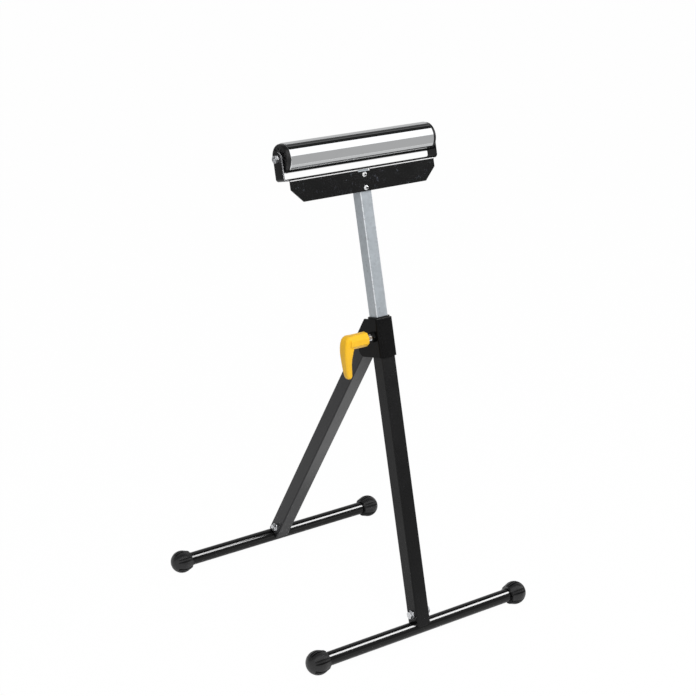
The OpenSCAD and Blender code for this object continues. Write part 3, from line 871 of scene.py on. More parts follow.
@dataclass
class Fasteners:
    """Hexagon bolts, nuts and washers along X, all of one size."""

    shank: float = 8 * MM
    flats: float = 13 * MM
    head: float = 5.3 * MM
    nut: float = 6.5 * MM
    nut_edge: float = 0.12 * MM
    washer: float = 16 * MM
    washer_wall: float = 1.6 * MM
    washer_edge: float = 0.25 * MM
    tail: float = 2 * MM
    pitch: float = 1.25 * MM
    play: float = 0.2 * MM
    crown_share: float = 0.97
    lean_share: float = 0.62
    over_share: float = 1.001
    flare_share: float = 1.02
    depth_share: float = 0.5
    root_shares: tuple[float, float] = (0.45, 0.55)
    sunk_share: float = 0.3

    @property
    def hole(self) -> float:
        """Radius of a hole that the bolt passes with play."""
        return self.shank / 2 + self.play

    @property
    def bore(self) -> float:
        """Radius of a hole that fits the bolt closely."""
        return self.shank / 2 + FIT

    def hexagon(self, name: str, start: float, height: float, flats: float, both: bool = True) -> Workpiece:
        """A hexagon with its corners broken, as forged.

        Args:
            name: Name of the piece.
            start: Where it starts along X.
            height: Its height along X.
            flats: Width across its flats.
            both: Whether both ends are broken, and not only the first.

        Returns:
            The solid.
        """
        corner, end = corner_radius(flats, 6), start + height
        face, lean = flats / 2 * self.crown_share, (corner - flats / 2) * self.lean_share
        shape = Workpiece.rod(name, corner, (start, 0, 0), height, Axis.X, sides=6)
        far = [(end - lean, corner), (end, face)] if both else [(end, corner * self.flare_share)]
        near = [(start, 0.0), (start, face), (start + lean, corner * self.over_share)]
        shape.combine(Workpiece.turned("crown", [*near, *far, (end, 0.0)], steps=72), "INTERSECT")
        return shape

    def threaded(self, name: str, start: float, end: float, thread_from: float, radius: float) -> Workpiece:
        """A shank along X whose far part has thread ridges and a chamfered tip.

        Args:
            name: Name of the piece.
            start: Where it starts.
            end: Its tip.
            thread_from: Where the ridges start.
            radius: Its radius.

        Returns:
            The solid.
        """
        depth = self.pitch * self.depth_share
        profile = [(start, 0.0), (start, radius), (thread_from, radius)]
        x = thread_from
        while x + self.pitch < end - depth:
            profile += [(x + self.pitch * share, radius - depth) for share in self.root_shares]
            profile.append((x + self.pitch, radius))
            x += self.pitch
        profile += [(end - depth, radius), (end, radius - depth), (end, 0.0)]
        return Workpiece.turned(name, profile, steps=48)

    def bolt(self, name: str, grip: float) -> Workpiece:
        """A bolt with its head on the left.

        Args:
            name: Name of the piece.
            grip: Half of what it clamps.

        Returns:
            The bolt.
        """
        under, over = -grip - self.washer_wall, grip + self.washer_wall + self.nut
        shape = self.hexagon(name, under - self.head, self.head, self.flats, both=False)
        start, thread_from = under - self.head * self.sunk_share, over - 2 * self.pitch
        shape.absorb(self.threaded("shank", start, over + self.tail, thread_from, self.shank / 2))
        return shape

    def nut_on(self, name: str, start: float, flats: float, height: float, bore: float) -> Workpiece:
        """A nut along X.

        Args:
            name: Name of the piece.
            start: Where it starts.
            flats: Width across its flats.
            height: Its height.
            bore: Radius of its bore.

        Returns:
            The nut.
        """
        shape = self.hexagon(name, start, height, flats)
        shape.drill(bore, (start - height, 0, 0), 3 * height, Axis.X)
        shape.soften(self.nut_edge, segments=1)
        return shape

    def washers(self, name: str, grip: float) -> Workpiece:
        """Two washers, one on each side of what they clamp.

        Args:
            name: Name of the piece.
            grip: Half of what they clamp.

        Returns:
            Both washers.
        """
        inner, outer, edge = self.hole, self.washer / 2, self.washer_edge
        near, far = grip, grip + self.washer_wall
        loop = [(near, inner), (far, inner), (far, outer - edge)]
        loop += [(far - edge, outer), (near, outer), (near, inner)]
        return Workpiece.turned(name, loop, steps=64).pair()

    def fasten(self, pieces: dict[str, str], grip: float, place: Matrix, body: str) -> None:
        """Builds and dresses a bolt, its two washers and its nut.

        Args:
            pieces: The names of the three, each with its CAD node.
            grip: Half of what they clamp.
            place: The middle of what they clamp.
            body: The body that they ride on.
        """
        bolt, washers, nut = pieces
        shapes = (
            self.bolt(bolt, grip),
            self.washers(washers, grip),
            self.nut_on(nut, grip + self.washer_wall, self.flats, self.nut, self.bore),
        )
        for shape, node in zip(shapes, pieces.values()):
            shape.place(place).deliver(body, node, BOLT_ZINC)


@dataclass
class Upright:
    """A square tube that stands on a foot bar and is bolted to its stub."""

    frame: Matrix
    tube: float = 30 * MM
    wall: float = 2 * MM
    corner: float = 2.6 * MM
    edge: float = 0.35 * MM
    saddle: float = 26.2 * MM
    bolt_rise: float = 27 * MM
    fasteners: Fasteners = field(default_factory=Fasteners)

    def model_tube(self, name: str, low: float, top: float) -> Workpiece:
        """The tube with the saddle cut for its bar and the foot bolt's hole.

        Args:
            name: Name of the piece.
            low: Its lower end.
            top: Its upper end.

        Returns:
            The tube.
        """
        tube = square_tube(name, self.tube, self.wall, self.corner, low, top)
        tube.drill(self.saddle / 2, (-self.tube, 0, 0), 2 * self.tube, Axis.X)
        tube.drill(self.fasteners.hole, (-self.tube, 0, self.bolt_rise), 2 * self.tube, Axis.X)
        return tube


@dataclass
class Foot:
    """A foot: a round bar with a square stub in the tube above it, a bolt through both, and two end caps."""

    name: str
    body: str
    y: float
    frame: Matrix
    bar_z: float = 22.5 * MM
    bar: float = 26 * MM
    bar_wall: float = 1.5 * MM
    bar_length: float = 476 * MM
    stub: float = 25.6 * MM
    stub_wall: float = 2 * MM
    stub_corner: float = 2.5 * MM
    stub_top: float = 44 * MM
    cap: float = 45.2 * MM
    cap_x: float = 232 * MM
    cap_edge: float = 0.45 * MM
    cap_angle: float = 40.0
    mouth: float = 17.5 * MM
    mouth_width: float = 36 * MM
    cone: float = 9 * MM
    bore: float = 26.2 * MM
    grip: float = 6 * MM
    flutes: int = 6
    flute: float = 8.4 * MM
    flute_floor: float = 16.5 * MM
    groove: float = 2.9 * MM
    lift: float = 0.02 * MM
    fasteners: Fasteners = field(default_factory=Fasteners)

    def model_bar(self) -> Workpiece:
        """The bar and its stub.

        Returns:
            The welded bar.
        """
        half, radius = self.bar_length / 2, self.bar / 2
        bar = Workpiece.rod(self.name + "_bar", radius, (-half, 0, 0), self.bar_length, Axis.X, sides=128)
        stub = square_tube("stub", self.stub, self.stub_wall, self.stub_corner, 0, self.stub_top)
        bar.combine(stub, "UNION")
        bar.drill(radius - self.bar_wall, (-half - OVERRUN / 2, 0, 0), self.bar_length + OVERRUN, Axis.X)
        bar.drill(self.fasteners.hole, (-Upright.tube, 0, Upright.bolt_rise), 2 * Upright.tube, Axis.X)
        return bar

    def model_cap(self) -> Workpiece:
        """One end cap, on the right, about the bar's own axis.

        Returns:
            The fluted ball.
        """
        radius, bore = self.cap / 2, self.bore / 2
        start = math.degrees(math.acos(-self.cone / radius))
        profile = [(self.grip, 0.0), (self.grip, bore)]
        profile += [(-self.mouth, bore), (-self.mouth, self.mouth_width / 2)]
        profile += arc((0.0, 0.0), radius, start, 0.0, steps=40)
        shape = Workpiece.turned("cap", profile, steps=144)
        shift = (self.flute - self.groove) / self.cap
        high = self.cap - self.flute_floor
        size, middle = (2 * self.cap, self.groove, high), (0, 0, self.cap - high / 2)
        for i in range(self.flutes):
            for side in Side:
                angle = WHOLE_TURN * i / self.flutes + side.value * shift
                cutter = Workpiece.block("cutter", size, middle)
                shape.cut(cutter.place(Matrix.Rotation(angle, 4, "X")))
        shape.soften(self.cap_edge, angle=self.cap_angle)
        shape.pick(Pick.FACES)
        shape.slice((0, 0, self.lift - self.bar_z), (0, 0, -1), clear_outer=True, use_fill=True)
        return shape

    def build(self) -> None:
        """Builds and dresses the whole foot."""
        name = self.name
        self.model_bar().place(self.frame).deliver(self.body, name + "_foot_bar", GLOSS_BLACK)
        pieces = {f"{name}_{word}": f"{name}_foot_{word}" for word in ("bolt", "washers", "nut")}
        rise = self.frame @ Matrix.Translation((0, 0, Upright.bolt_rise))
        self.fasteners.fasten(pieces, Upright.tube / 2, rise, self.body)
        right = self.model_cap()
        left = right.again("cap_copy").place(OTHER_SIDE)
        for cap, side in ((right, Side.RIGHT), (left, Side.LEFT)):
            word = side.name.lower()
            cap.obj.name = f"{name}_{word}_end_cap"
            cap.place(Matrix.Translation((side.value * self.cap_x, self.y, self.bar_z)))
            cap.deliver(self.body, f"{name}_cap_{word}", CAP_RUBBER, self.cap_angle)


@dataclass
class Post(Upright):
    """The leaning post with the folded hinge bracket and its hinge bolt."""

    low: float = 5 * MM
    top: float = 593 * MM
    plate: float = 3 * MM
    plate_edge: float = 0.5 * MM
    slack: float = 0.3 * MM
    plate_top: float = 590 * MM
    plate_low: float = 518 * MM
    shelf: float = 22 * MM
    rear: float = 52.5 * MM
    rear_round: float = 14 * MM
    pivot_y: float = 36.5 * MM
    pivot_z: float = 550 * MM
    clamp_z: float = 557 * MM
    clamp_hole: float = 6.2 * MM
    clamp_thread: float = 6 * MM
    clamp_flats: float = 18 * MM
    clamp_nut: float = 6 * MM

    def model_bracket(self) -> Workpiece:
        """The hinge bracket: a plate folded round the post's front, its cheeks reaching back.

        Returns:
            The folded plate.
        """
        inner = self.tube / 2 + self.slack
        flat = inner - self.corner
        front = -self.tube / 2
        bend_y = front + self.corner
        height = self.plate_top - self.plate_low
        middle = (self.plate_top + self.plate_low) / 2
        shape = Workpiece.plane("hinge_plate", 2 * flat, height, (0, 0, 0))
        shape.place(Matrix.Translation((0, front, middle)) @ Matrix.Rotation(RIGHT_ANGLE, 4, "X"))
        for side in Side:
            s = side.value
            shape.pick(Pick.EDGES, lambda at, way: close(at.x, s * flat))
            shape.fold((s * flat, bend_y, 0), Axis.Z, s * RIGHT_ANGLE)
            shape.pick(
                Pick.EDGES,
                lambda at, way: along(way.z) and close(at.x, s * inner) and close(at.y, bend_y),
            )
            shape.pull((0, self.rear - bend_y, 0))
        shelf = self.rear - self.shelf
        shape.trim(lambda at, normal: close(at.y, self.rear) and at.z < middle, self.rear_round, steps=14)
        shape.trim(lambda at, normal: close(at.y, self.rear) and close(at.z, self.plate_top), shelf, steps=1)
        shape.weld()
        shape.wall(-self.plate)
        wide = 4 * self.tube
        shape.drill(self.fasteners.bore, (-wide / 2, self.pivot_y, self.pivot_z), wide, Axis.X)
        shape.drill(self.clamp_hole, (-wide / 2, 0, self.clamp_z), wide / 2, Axis.X)
        shape.soften(self.plate_edge, segments=3)
        return shape

    def build(self) -> None:
        """Builds and dresses the post."""
        body = "post_frame"
        tube = self.model_tube("post_tube", self.low, self.top)
        tube.drill(self.clamp_hole, (-self.tube, 0, self.clamp_z), self.tube, Axis.X)
        tube.soften(self.edge)
        tube.place(self.frame).deliver(body, "outer_post", POWDER_BLACK)
        self.model_bracket().place(self.frame).deliver(body, "hinge_bracket", PLATE_BLACK)
        out = self.tube / 2 + self.slack + self.plate
        pieces = {
            "hinge_bolt_piece": "hinge_bolt",
            "hinge_washer_pair": "hinge_washers",
            "hinge_nut_piece": "hinge_nut",
        }
        hinge = self.frame @ Matrix.Translation((0, self.pivot_y, self.pivot_z))
        self.fasteners.fasten(pieces, out, hinge, body)
        clamp = self.frame @ Matrix.Translation((0, 0, self.clamp_z))
        start, bore = -out - self.clamp_nut, self.clamp_thread + FIT
        welded = self.fasteners.nut_on("clamp_nut_piece", start, self.clamp_flats, self.clamp_nut, bore)
        welded.place(clamp).deliver(body, "clamp_nut", PLATE_BLACK)


@dataclass
class Leg(Upright):
    """The rear leg's tube."""

    low: float = 7 * MM
    length: float = 619.858 * MM
    head: float = 14.9 * MM

    def build(self) -> None:
        """Builds and dresses the leg."""
        tube = self.model_tube("leg_tube", self.low, self.length + self.head)
        tube.drill(self.fasteners.bore, (-self.tube, 0, self.length), 2 * self.tube, Axis.X)
        tube.soften(self.edge)
        tube.place(self.frame).deliver("leg_frame", "rear_leg", POWDER_GREY)


@dataclass
class Head:
    """The sliding mast with the folded head bracket, its screws and the roller's axle."""

    frame: Matrix
    body: str = "mast_head"
    mast: float = 25 * MM
    mast_wall: float = 1.5 * MM
    mast_corner: float = 2 * MM
    mast_edge: float = 0.3 * MM
    mast_length: float = 562 * MM
    # Corner faces whose normal leans at least this far sideways get the painted corner highlight.
    corner_highlight_lean: float = 0.35
    edge_highlight_lean: float = 0.3
    web_lean: float = 0.95
    sheet: float = 2.5 * MM
    sheet_edge: float = 0.45 * MM
    web_top: float = 864 * MM
    axle_z: float = 902 * MM
    ear_width: float = 26 * MM
    ear_round_share: float = 0.9999
    ear_out: float = 169.5 * MM
    ear_fold: float = 3.5 * MM
    apron_fold: float = 1.5 * MM
    apron_low: float = 822 * MM
    apron_half: float = 158.5 * MM
    apron_cut: float = 23.5 * MM
    slot: float = 27 * MM
    slot_height: float = 4 * MM
    screw_low: float = 828 * MM
    screw_pitch: float = 24 * MM
    screw: float = 5 * MM
    screw_head: float = 9.5 * MM
    screw_head_height: float = 2.75 * MM
    screw_tip_share: float = 0.3
    socket: float = 3 * MM
    socket_depth: float = 1.6 * MM
    socket_share: float = 0.6
    dome_top: float = 0.1 * MM
    screw_nut: float = 8 * MM
    screw_nut_height: float = 4 * MM
    axle: float = 8 * MM
    spacer: float = 11.6 * MM
    spacer_edge: float = 0.3 * MM
    bearing_out: float = 163.5 * MM
    fasteners: Fasteners = field(default_factory=Fasteners)

    @property
    def web_low(self) -> float:
        """Height of the web's lower face, on the mast's end."""
        return self.web_top - self.sheet

    @property
    def screw_heights(self) -> tuple[float, float]:
        """Heights of the two screws."""
        return (self.screw_low, self.screw_low + self.screw_pitch)

    def drill_for_screws(self, shape: Workpiece, depth: float) -> None:
        """Drills the two screws' holes from in front."""
        for height in self.screw_heights:
            shape.drill(self.screw / 2 + self.fasteners.play, (0, -self.mast, height), depth, Axis.Y)

    def model_bracket(self) -> Workpiece:
        """The head bracket: one sheet folded up into two ears and down into the apron.

        Returns:
            The folded sheet.
        """
        low, bend = self.web_low, self.ear_fold + self.sheet
        reach = self.ear_out - bend
        top = self.axle_z + self.ear_width / 2
        fold_y = -self.mast / 2 + self.apron_fold
        bend_z = low - self.apron_fold
        shape = Workpiece.plane("head_plate", 2 * reach, self.ear_width, (0, 0, low))
        for side in Side:
            s = side.value
            shape.pick(Pick.EDGES, lambda at, way: close(at.x, s * reach))
            shape.fold((s * reach, 0, low + bend), Axis.Y, -s * RIGHT_ANGLE)
            shape.pick(Pick.EDGES, lambda at, way: along(way.y) and close(at.x, s * self.ear_out))
            shape.pull((0, 0, top - low - bend))
        shape.trim(lambda at, normal: at.z > top - NEAR, self.ear_width / 2 * self.ear_round_share, steps=16)
        for side in Side:
            shape.pick(Pick.FACES, lambda at, normal: along(normal.z))
            shape.slice((side.value * self.apron_half, 0, 0), Axis.X.value)
        shape.pick(Pick.FACES, lambda at, normal: along(normal.z) and abs(at.x) < self.apron_half)
        shape.slice((0, fold_y, 0), Axis.Y.value)
        shape.pick(Pick.FACES, lambda at, normal: close(at.x, 0) and at.y < fold_y)
        shape.edit(bpy.ops.mesh.delete, type="FACE")
        shape.pick(Pick.EDGES, lambda at, way: close(at.x, 0) and close(at.y, fold_y))
        shape.fold((0, fold_y, bend_z), Axis.X, RIGHT_ANGLE)
        shape.pick(Pick.EDGES, lambda at, way: close(at.x, 0) and at.z < bend_z + NEAR)
        shape.pull((0, 0, self.apron_low - bend_z))
        shape.trim(lambda at, normal: at.z < self.apron_low + NEAR, self.apron_cut, steps=1)
        shape.weld()
        shape.pick(Pick.FACES, lambda at, normal: along(normal.z) and close(at.x, 0))
        up = any(face.select and face.normal.z > 0 for face in shape.obj.data.polygons)
        shape.wall(-self.sheet if up else self.sheet)
        out = self.ear_out + OVERRUN
        shape.drill(self.axle / 2 + FIT, (-out, 0, self.axle_z), 2 * out, Axis.X)
        self.drill_for_screws(shape, self.mast)
        depth = 2 * self.sheet + self.apron_fold
        middle = (0, fold_y - depth / 2, low - self.slot_height / 2)
        shape.cut(Workpiece.block("slot", (self.slot, depth, self.slot_height), middle))
        shape.soften(self.sheet_edge)
        return shape

    def model_screw(self) -> Workpiece:
        """One button-head screw along X, its head to the left of x = 0.

        Returns:
            The screw.
        """
        radius, height = self.screw_head / 2, self.screw_head_height
        dome = (radius * radius + height * height) / 2 / height
        end = math.degrees(math.asin(radius / dome))
        cap = [(-x, y) for x, y in arc((height - dome, 0.0), dome, 0.0, end, steps=12)]
        tip = self.sheet + self.mast + self.screw_nut_height + self.fasteners.tail
        core = self.screw / 2
        point = core * self.screw_tip_share
        shank = [(0.0, core), (tip - point, core), (tip, core - point), (tip, 0.0)]
        shape = Workpiece.turned("screw", [*cap, *shank], steps=64)
        corner, reach = corner_radius(self.socket, 6), 3 * height - self.socket_depth
        shape.cut(Workpiece.rod("key", corner, (-2 * height, 0, 0), reach, Axis.X, sides=6))
        return shape

    def model_spacers(self) -> Workpiece:
        """The spacers between the bearings and the ears.

        Returns:
            Both spacers.
        """
        near, far, edge = self.bearing_out, self.ear_out - self.sheet, self.spacer_edge
        inner, outer = self.axle / 2 + FIT, self.spacer / 2
        loop = [(near, inner), (far, inner), (far, outer - edge), (far - edge, outer)]
        loop += [(near + edge, outer), (near, outer - edge), (near, inner)]
        return Workpiece.turned("axle_spacer_pair", loop, steps=64).pair()

    def in_socket(self, at: Vector) -> bool:
        """Whether a face of a screw belongs to its socket, which gets painted shade.

        Args:
            at: The face's middle.

        Returns:
            True for the socket's sides and floor.
        """
        x, y, z = self.frame.inverted() @ at
        height = -y - self.mast / 2 - self.sheet
        up = min(abs(z - screw_height) for screw_height in self.screw_heights)
        below_top = 0 < height < self.screw_head_height - self.dome_top
        return below_top and math.hypot(x, up) < self.socket * self.socket_share

    def build_bracket(self) -> None:
        """Builds and dresses the mast and its bracket."""
        low, top = self.web_low - self.mast_length, self.web_low
        mast = square_tube("mast_tube", self.mast, self.mast_wall, self.mast_corner, low, top)
        self.drill_for_screws(mast, 2 * self.mast)
        mast.soften(self.mast_edge)
        mast.place(self.frame).deliver(self.body, "mast", MAST_ZINC)
        # The mast's rounded corners get the lighter copy, a painted highlight.
        mast.coat(MAST_CORNER_HIGHLIGHT, lambda at, normal: self.corner_highlight_lean < abs(normal.x) < ALONG)
        bracket = self.model_bracket().place(self.frame)
        bracket.deliver(self.body, "head_bracket", SHEET_BLACK)
        turn = self.frame.to_3x3()
        up, front = turn @ Vector((0.0, 0.0, 1.0)), turn @ Vector((0.0, -1.0, 0.0))
        highlight_x = -self.apron_half - MM
        # The web's top faces get the matt copy, painted shade under the roller.
        bracket.coat(SHEET_SHADE, lambda at, normal: normal.dot(up) > self.web_lean)
        # The left ear's front-facing edge gets the light grey copy, a painted highlight.
        bracket.coat(SHEET_EDGE_HIGHLIGHT, lambda at, normal: normal.dot(front) > self.edge_highlight_lean and at.x < highlight_x)

    def build_screws(self) -> None:
        """Builds and dresses the two head screws and their nuts."""
        forward = Matrix.Rotation(RIGHT_ANGLE, 4, "Z")
        flats, high, bore = self.screw_nut, self.screw_nut_height, self.screw / 2 + FIT
        screws, nuts = [], []
        for height in self.screw_heights:
            spot = self.frame @ Matrix.Translation((0, -self.mast / 2 - self.sheet, height)) @ forward
            screws.append(self.model_screw().place(spot))
            behind = self.frame @ Matrix.Translation((0, self.mast / 2, height)) @ forward
            nuts.append(self.fasteners.nut_on("screw_nut", 0, flats, high, bore).place(behind))
        for name, node, finish, (shape, other) in (
            # The screws take the lighter zinc, partly a painted highlight on their heads.
            ("head_screw_pair", "head_screws", SCREW_ZINC_HIGHLIGHT, screws),
            ("head_nut_pair", "head_nuts", BOLT_ZINC, nuts),
        ):
            shape.absorb(other)
            shape.obj.name = name
            shape.deliver(self.body, node, finish)
        # The sockets' sides and floors get the matt black copy, painted shade in the recesses.
        screws[0].coat(SHEET_SHADE, lambda at, normal: self.in_socket(at))

    def build_axle(self) -> None:
        """Builds and dresses the roller's axle, its nuts and its spacers."""
        parts, radius = self.fasteners, self.axle / 2
        end = self.ear_out + parts.nut + parts.tail
        rod = parts.threaded("axle_rod", 0, end, self.ear_out + MM, radius).pair()
        rod.weld()
        nuts = parts.nut_on("axle_nut_pair", self.ear_out, parts.flats, parts.nut, radius + FIT).pair()
        axle = self.frame @ Matrix.Translation((0, 0, self.axle_z))
        rod.place(axle).deliver(self.body, "roller_axle", AXLE_STEEL)
        nuts.place(axle).deliver(self.body, "axle_nuts", BOLT_ZINC)
        self.model_spacers().place(axle).deliver(self.body, "axle_spacers", BOLT_ZINC)

    def build(self) -> None:
        """Builds and dresses the mast and the head."""
        self.build_bracket()
        self.build_screws()
        self.build_axle()


@dataclass
class Roller:
    """The chromed roller with its end plugs and bearings."""

    frame: Matrix
    radius: float = 27 * MM
    length: float = 314 * MM
    wall: float = 1.5 * MM
    roll: float = 1.4 * MM
    flange: float = 7 * MM
    step: float = 1.2 * MM
    edge: float = 3.5 * MM
    spigot: float = 14 * MM
    plug_wall: float = 2.4 * MM
    fit: float = 0.1 * MM
    seat_edge: float = 0.3 * MM
    plug_angle: float = 50.0
    bearing: float = 22 * MM
    bearing_in: float = 156.5 * MM
    throat: float = 6.4 * MM
    pockets: int = 12
    pocket: float = 3.8 * MM
    pocket_depth: float = 3.5 * MM
    pocket_ring: float = 34.5 * MM
    groove_in: float = 20.2 * MM
    groove_out: float = 21.4 * MM
    groove_depth: float = 0.7 * MM
    groove_lean: float = 0.2 * MM

    def model_tube(self) -> Workpiece:
        """The roller's tube.

        Returns:
            The tube with softly rolled ends.
        """
        half, inner, roll = self.length / 2, self.radius - self.wall, self.roll
        right = arc((half - roll, self.radius - roll), roll, 0.0, 90.0, steps=5)
        left = arc((-half + roll, self.radius - roll), roll, 90.0, 180.0, steps=5)
        loop = [(-half, inner), (half, inner), *right, *left, (-half, inner)]
        return Workpiece.turned("roller_shell", loop, steps=256)

    def model_plug(self) -> Workpiece:
        """The right end plug: flange with a groove and a ring of pockets, hub and spigot.

        Returns:
            The plug.
        """
        half = self.length / 2
        face, flange = half + self.flange, self.radius - self.step
        spigot, edge = self.radius - self.wall - self.fit, self.seat_edge
        seat, hub = self.bearing / 2 + self.fit / 2, self.bearing / 2 + self.plug_wall
        back, floor = half - self.spigot, half - self.plug_wall
        groove, lean = face - self.groove_depth, self.groove_lean
        loop = [(back, self.throat), (self.bearing_in, self.throat), (self.bearing_in, seat)]
        loop += [(face - edge, seat), (face, seat + edge), (face, self.groove_in)]
        loop += [(groove, self.groove_in + lean), (groove, self.groove_out - lean), (face, self.groove_out)]
        loop += arc((face - self.edge, flange - self.edge), self.edge, 0.0, 90.0, steps=8)
        loop += [(half, flange), (half, spigot), (back, spigot), (back, spigot - self.plug_wall)]
        loop += [(floor, spigot - self.plug_wall), (floor, hub), (back, hub), (back, self.throat)]
        shape = Workpiece.turned("plug", loop, steps=144)
        for i in range(self.pockets):
            angle, out = WHOLE_TURN * i / self.pockets, self.pocket_ring / 2
            place = (face - self.pocket_depth, out * math.sin(angle), out * math.cos(angle))
            shape.drill(self.pocket / 2, place, 2 * self.pocket_depth, Axis.X)
        shape.soften(self.seat_edge, angle=self.plug_angle)
        return shape

    def build(self) -> None:
        """Builds and dresses the roller."""
        axle = self.frame @ Matrix.Translation((0, 0, Head.axle_z))
        self.model_tube().place(axle).deliver("roller", "roller_tube", ROLLER_CHROME)
        right = self.model_plug()
        left = right.again("end_plug_left").place(OTHER_SIDE)
        right.obj.name = "end_plug_right"
        right.place(axle).deliver("roller", "roller_plug_right", PLUG_BLACK)
        left.place(axle).deliver("roller", "roller_plug_left", PLUG_BLACK)
        for word in ("inner_rings", "outer_rings", "balls", "cages", "shields"):
            dress("bearing_" + word, BEARING_STEEL)


@dataclass(frozen=True)
class Section:
    """One cross-section of the lever's grip."""

    z: float
    outer: float
    inner: float
    depth: float

    @property
    def width(self) -> float:
        """Its width along X."""
        return self.inner - self.outer

    @property
    def middle(self) -> Place:
        """Its middle."""
        return ((self.inner + self.outer) / 2, 0.0, self.z)


@dataclass
class Clamp:
    """The clamp: a yellow lever on a bright screw that presses a pad on the mast."""

    frame: Matrix
    radius: float = 6 * MM
    pitch: float = 1.75 * MM
    thread_share: float = 0.45
    thread_steps: int = 32
    tooth_shares: tuple[float, float] = (0.4, 0.6)
    hub: float = 26 * MM
    hub_sides: int = 8
    hub_start: float = -75.3 * MM
    hub_end: float = -35.3 * MM
    hub_bore: float = 22 * MM
    hub_edge: float = 1.2 * MM
    handle_edge: float = 0.6 * MM
    handle_angle: float = 38.0
    pad_back: float = 16.06 * MM
    bite_share: float = 0.55
    corner: float = 4 * MM
    grip_lean: float = 0.2
    sections: tuple[Section, ...] = (
        Section(13.0 * MM, -77.5 * MM, -67.5 * MM, 11.0 * MM),
        Section(12.2 * MM, -79.3 * MM, -66.6 * MM, 15.0 * MM),
        Section(10.0 * MM, -81.8 * MM, -66.3 * MM, 18.5 * MM),
        Section(6.0 * MM, -84.2 * MM, -66.0 * MM, 21.0 * MM),
        Section(-1.0 * MM, -86.0 * MM, -66.0 * MM, 22.0 * MM),
        Section(-10.0 * MM, -86.8 * MM, -66.2 * MM, 22.0 * MM),
        Section(-20.0 * MM, -86.6 * MM, -68.2 * MM, 21.4 * MM),
        Section(-30.0 * MM, -85.5 * MM, -70.0 * MM, 20.0 * MM),
        Section(-42.0 * MM, -83.8 * MM, -70.1 * MM, 18.2 * MM),
        Section(-54.0 * MM, -81.7 * MM, -68.8 * MM, 16.8 * MM),
        Section(-63.0 * MM, -79.8 * MM, -67.9 * MM, 15.6 * MM),
        Section(-67.2 * MM, -78.4 * MM, -68.4 * MM, 13.0 * MM),
        Section(-69.0 * MM, -76.8 * MM, -69.6 * MM, 10.0 * MM),
    )

    def model_screw(self) -> Workpiece:
        """The screw, with its thread as a helix.

        Returns:
            The screw.
        """
        start = self.hub_end - (self.hub_end - self.hub_start) * self.bite_share
        length, core = -self.pad_back - start, self.radius - self.pitch * self.thread_share
        screw = Workpiece.rod("clamp_stud", core, (start, 0, 0), length, Axis.X, sides=48)
        rise, fall = (start + self.pitch * share for share in self.tooth_shares)
        profile = [(start, core), (rise, self.radius), (fall, self.radius), (start + self.pitch, core)]
        helix = Workpiece.drawn("helix", [(x, 0.0, z) for x, z in profile])
        turns = int(length / self.pitch) - 1
        helix.modify(
            "SCREW",
            axis="X",
            angle=WHOLE_TURN,
            screw_offset=self.pitch,
            iterations=turns,
            steps=self.thread_steps,
            render_steps=self.thread_steps,
        )
        helix.weld()
        screw.absorb(helix)
        return screw

    def model_grip(self) -> Workpiece:
        """The grip, extruded downwards from section to section, its long corners rounded.

        Returns:
            The solid.
        """
        first = self.sections[0]
        shape = Workpiece.plane("grip", first.width, first.depth, first.middle)
        shape.pick(Pick.FACES)
        for before, after in zip(self.sections, self.sections[1:]):
            shape.pull(tuple(b - a for a, b in zip(before.middle, after.middle)))
            shape.stretch((after.width / before.width, after.depth / before.depth, 1.0), after.middle)
        shape.weld()
        shape.pick(Pick.EDGES, lambda at, way: abs(way.z) > self.grip_lean and abs(at.y) > NEAR)
        shape.edit(bpy.ops.mesh.bevel, offset=self.corner, segments=6, affect="EDGES")
        shape.weld()
        return shape

    def model_handle(self) -> Workpiece:
        """The lever: an eight-sided hub and the curved grip.

        Returns:
            The handle.
        """
        corner, length = corner_radius(self.hub, self.hub_sides), self.hub_end - self.hub_start
        hub = Workpiece.rod("lever", corner, (0, 0, 0), length, Axis.X, self.hub_sides)
        turn = Matrix.Rotation(math.pi / self.hub_sides, 4, "X")
        hub.place(Matrix.Translation((self.hub_start, 0, 0)) @ turn)
        hub.soften(self.hub_edge, segments=3)
        hub.combine(self.model_grip(), "UNION")
        hub.soften(self.handle_edge, angle=self.handle_angle)
        hub.drill(self.radius + FIT, (self.hub_end - self.hub_bore, 0, 0), self.hub_bore + OVERRUN, Axis.X)
        return hub

    def build(self) -> None:
        """Builds and dresses the clamp."""
        clamp = self.frame @ Matrix.Translation((0, 0, Post.clamp_z))
        self.model_screw().place(clamp).deliver("clamp_lever", "clamp_screw", BOLT_ZINC)
        upright = clamp @ Matrix.Rotation(POST_LEAN, 4, "X")
        self.model_handle().place(upright).deliver("clamp_lever", "clamp_handle", HANDLE_YELLOW)
        dress("clamp_pad", BOLT_ZINC)


@dataclass(frozen=True)
class Card:
    """A curved card round the roller's axis, its angles in degrees from the stand's front up."""

    name: str
    start: float
    end: float
    level: float
    low_x: float = -3.0
    high_x: float = 6.0


@dataclass(frozen=True)
class FloorCard:
    """A card that lies on the floor."""

    name: str
    x: tuple[float, float]
    y: tuple[float, float]
    level: float


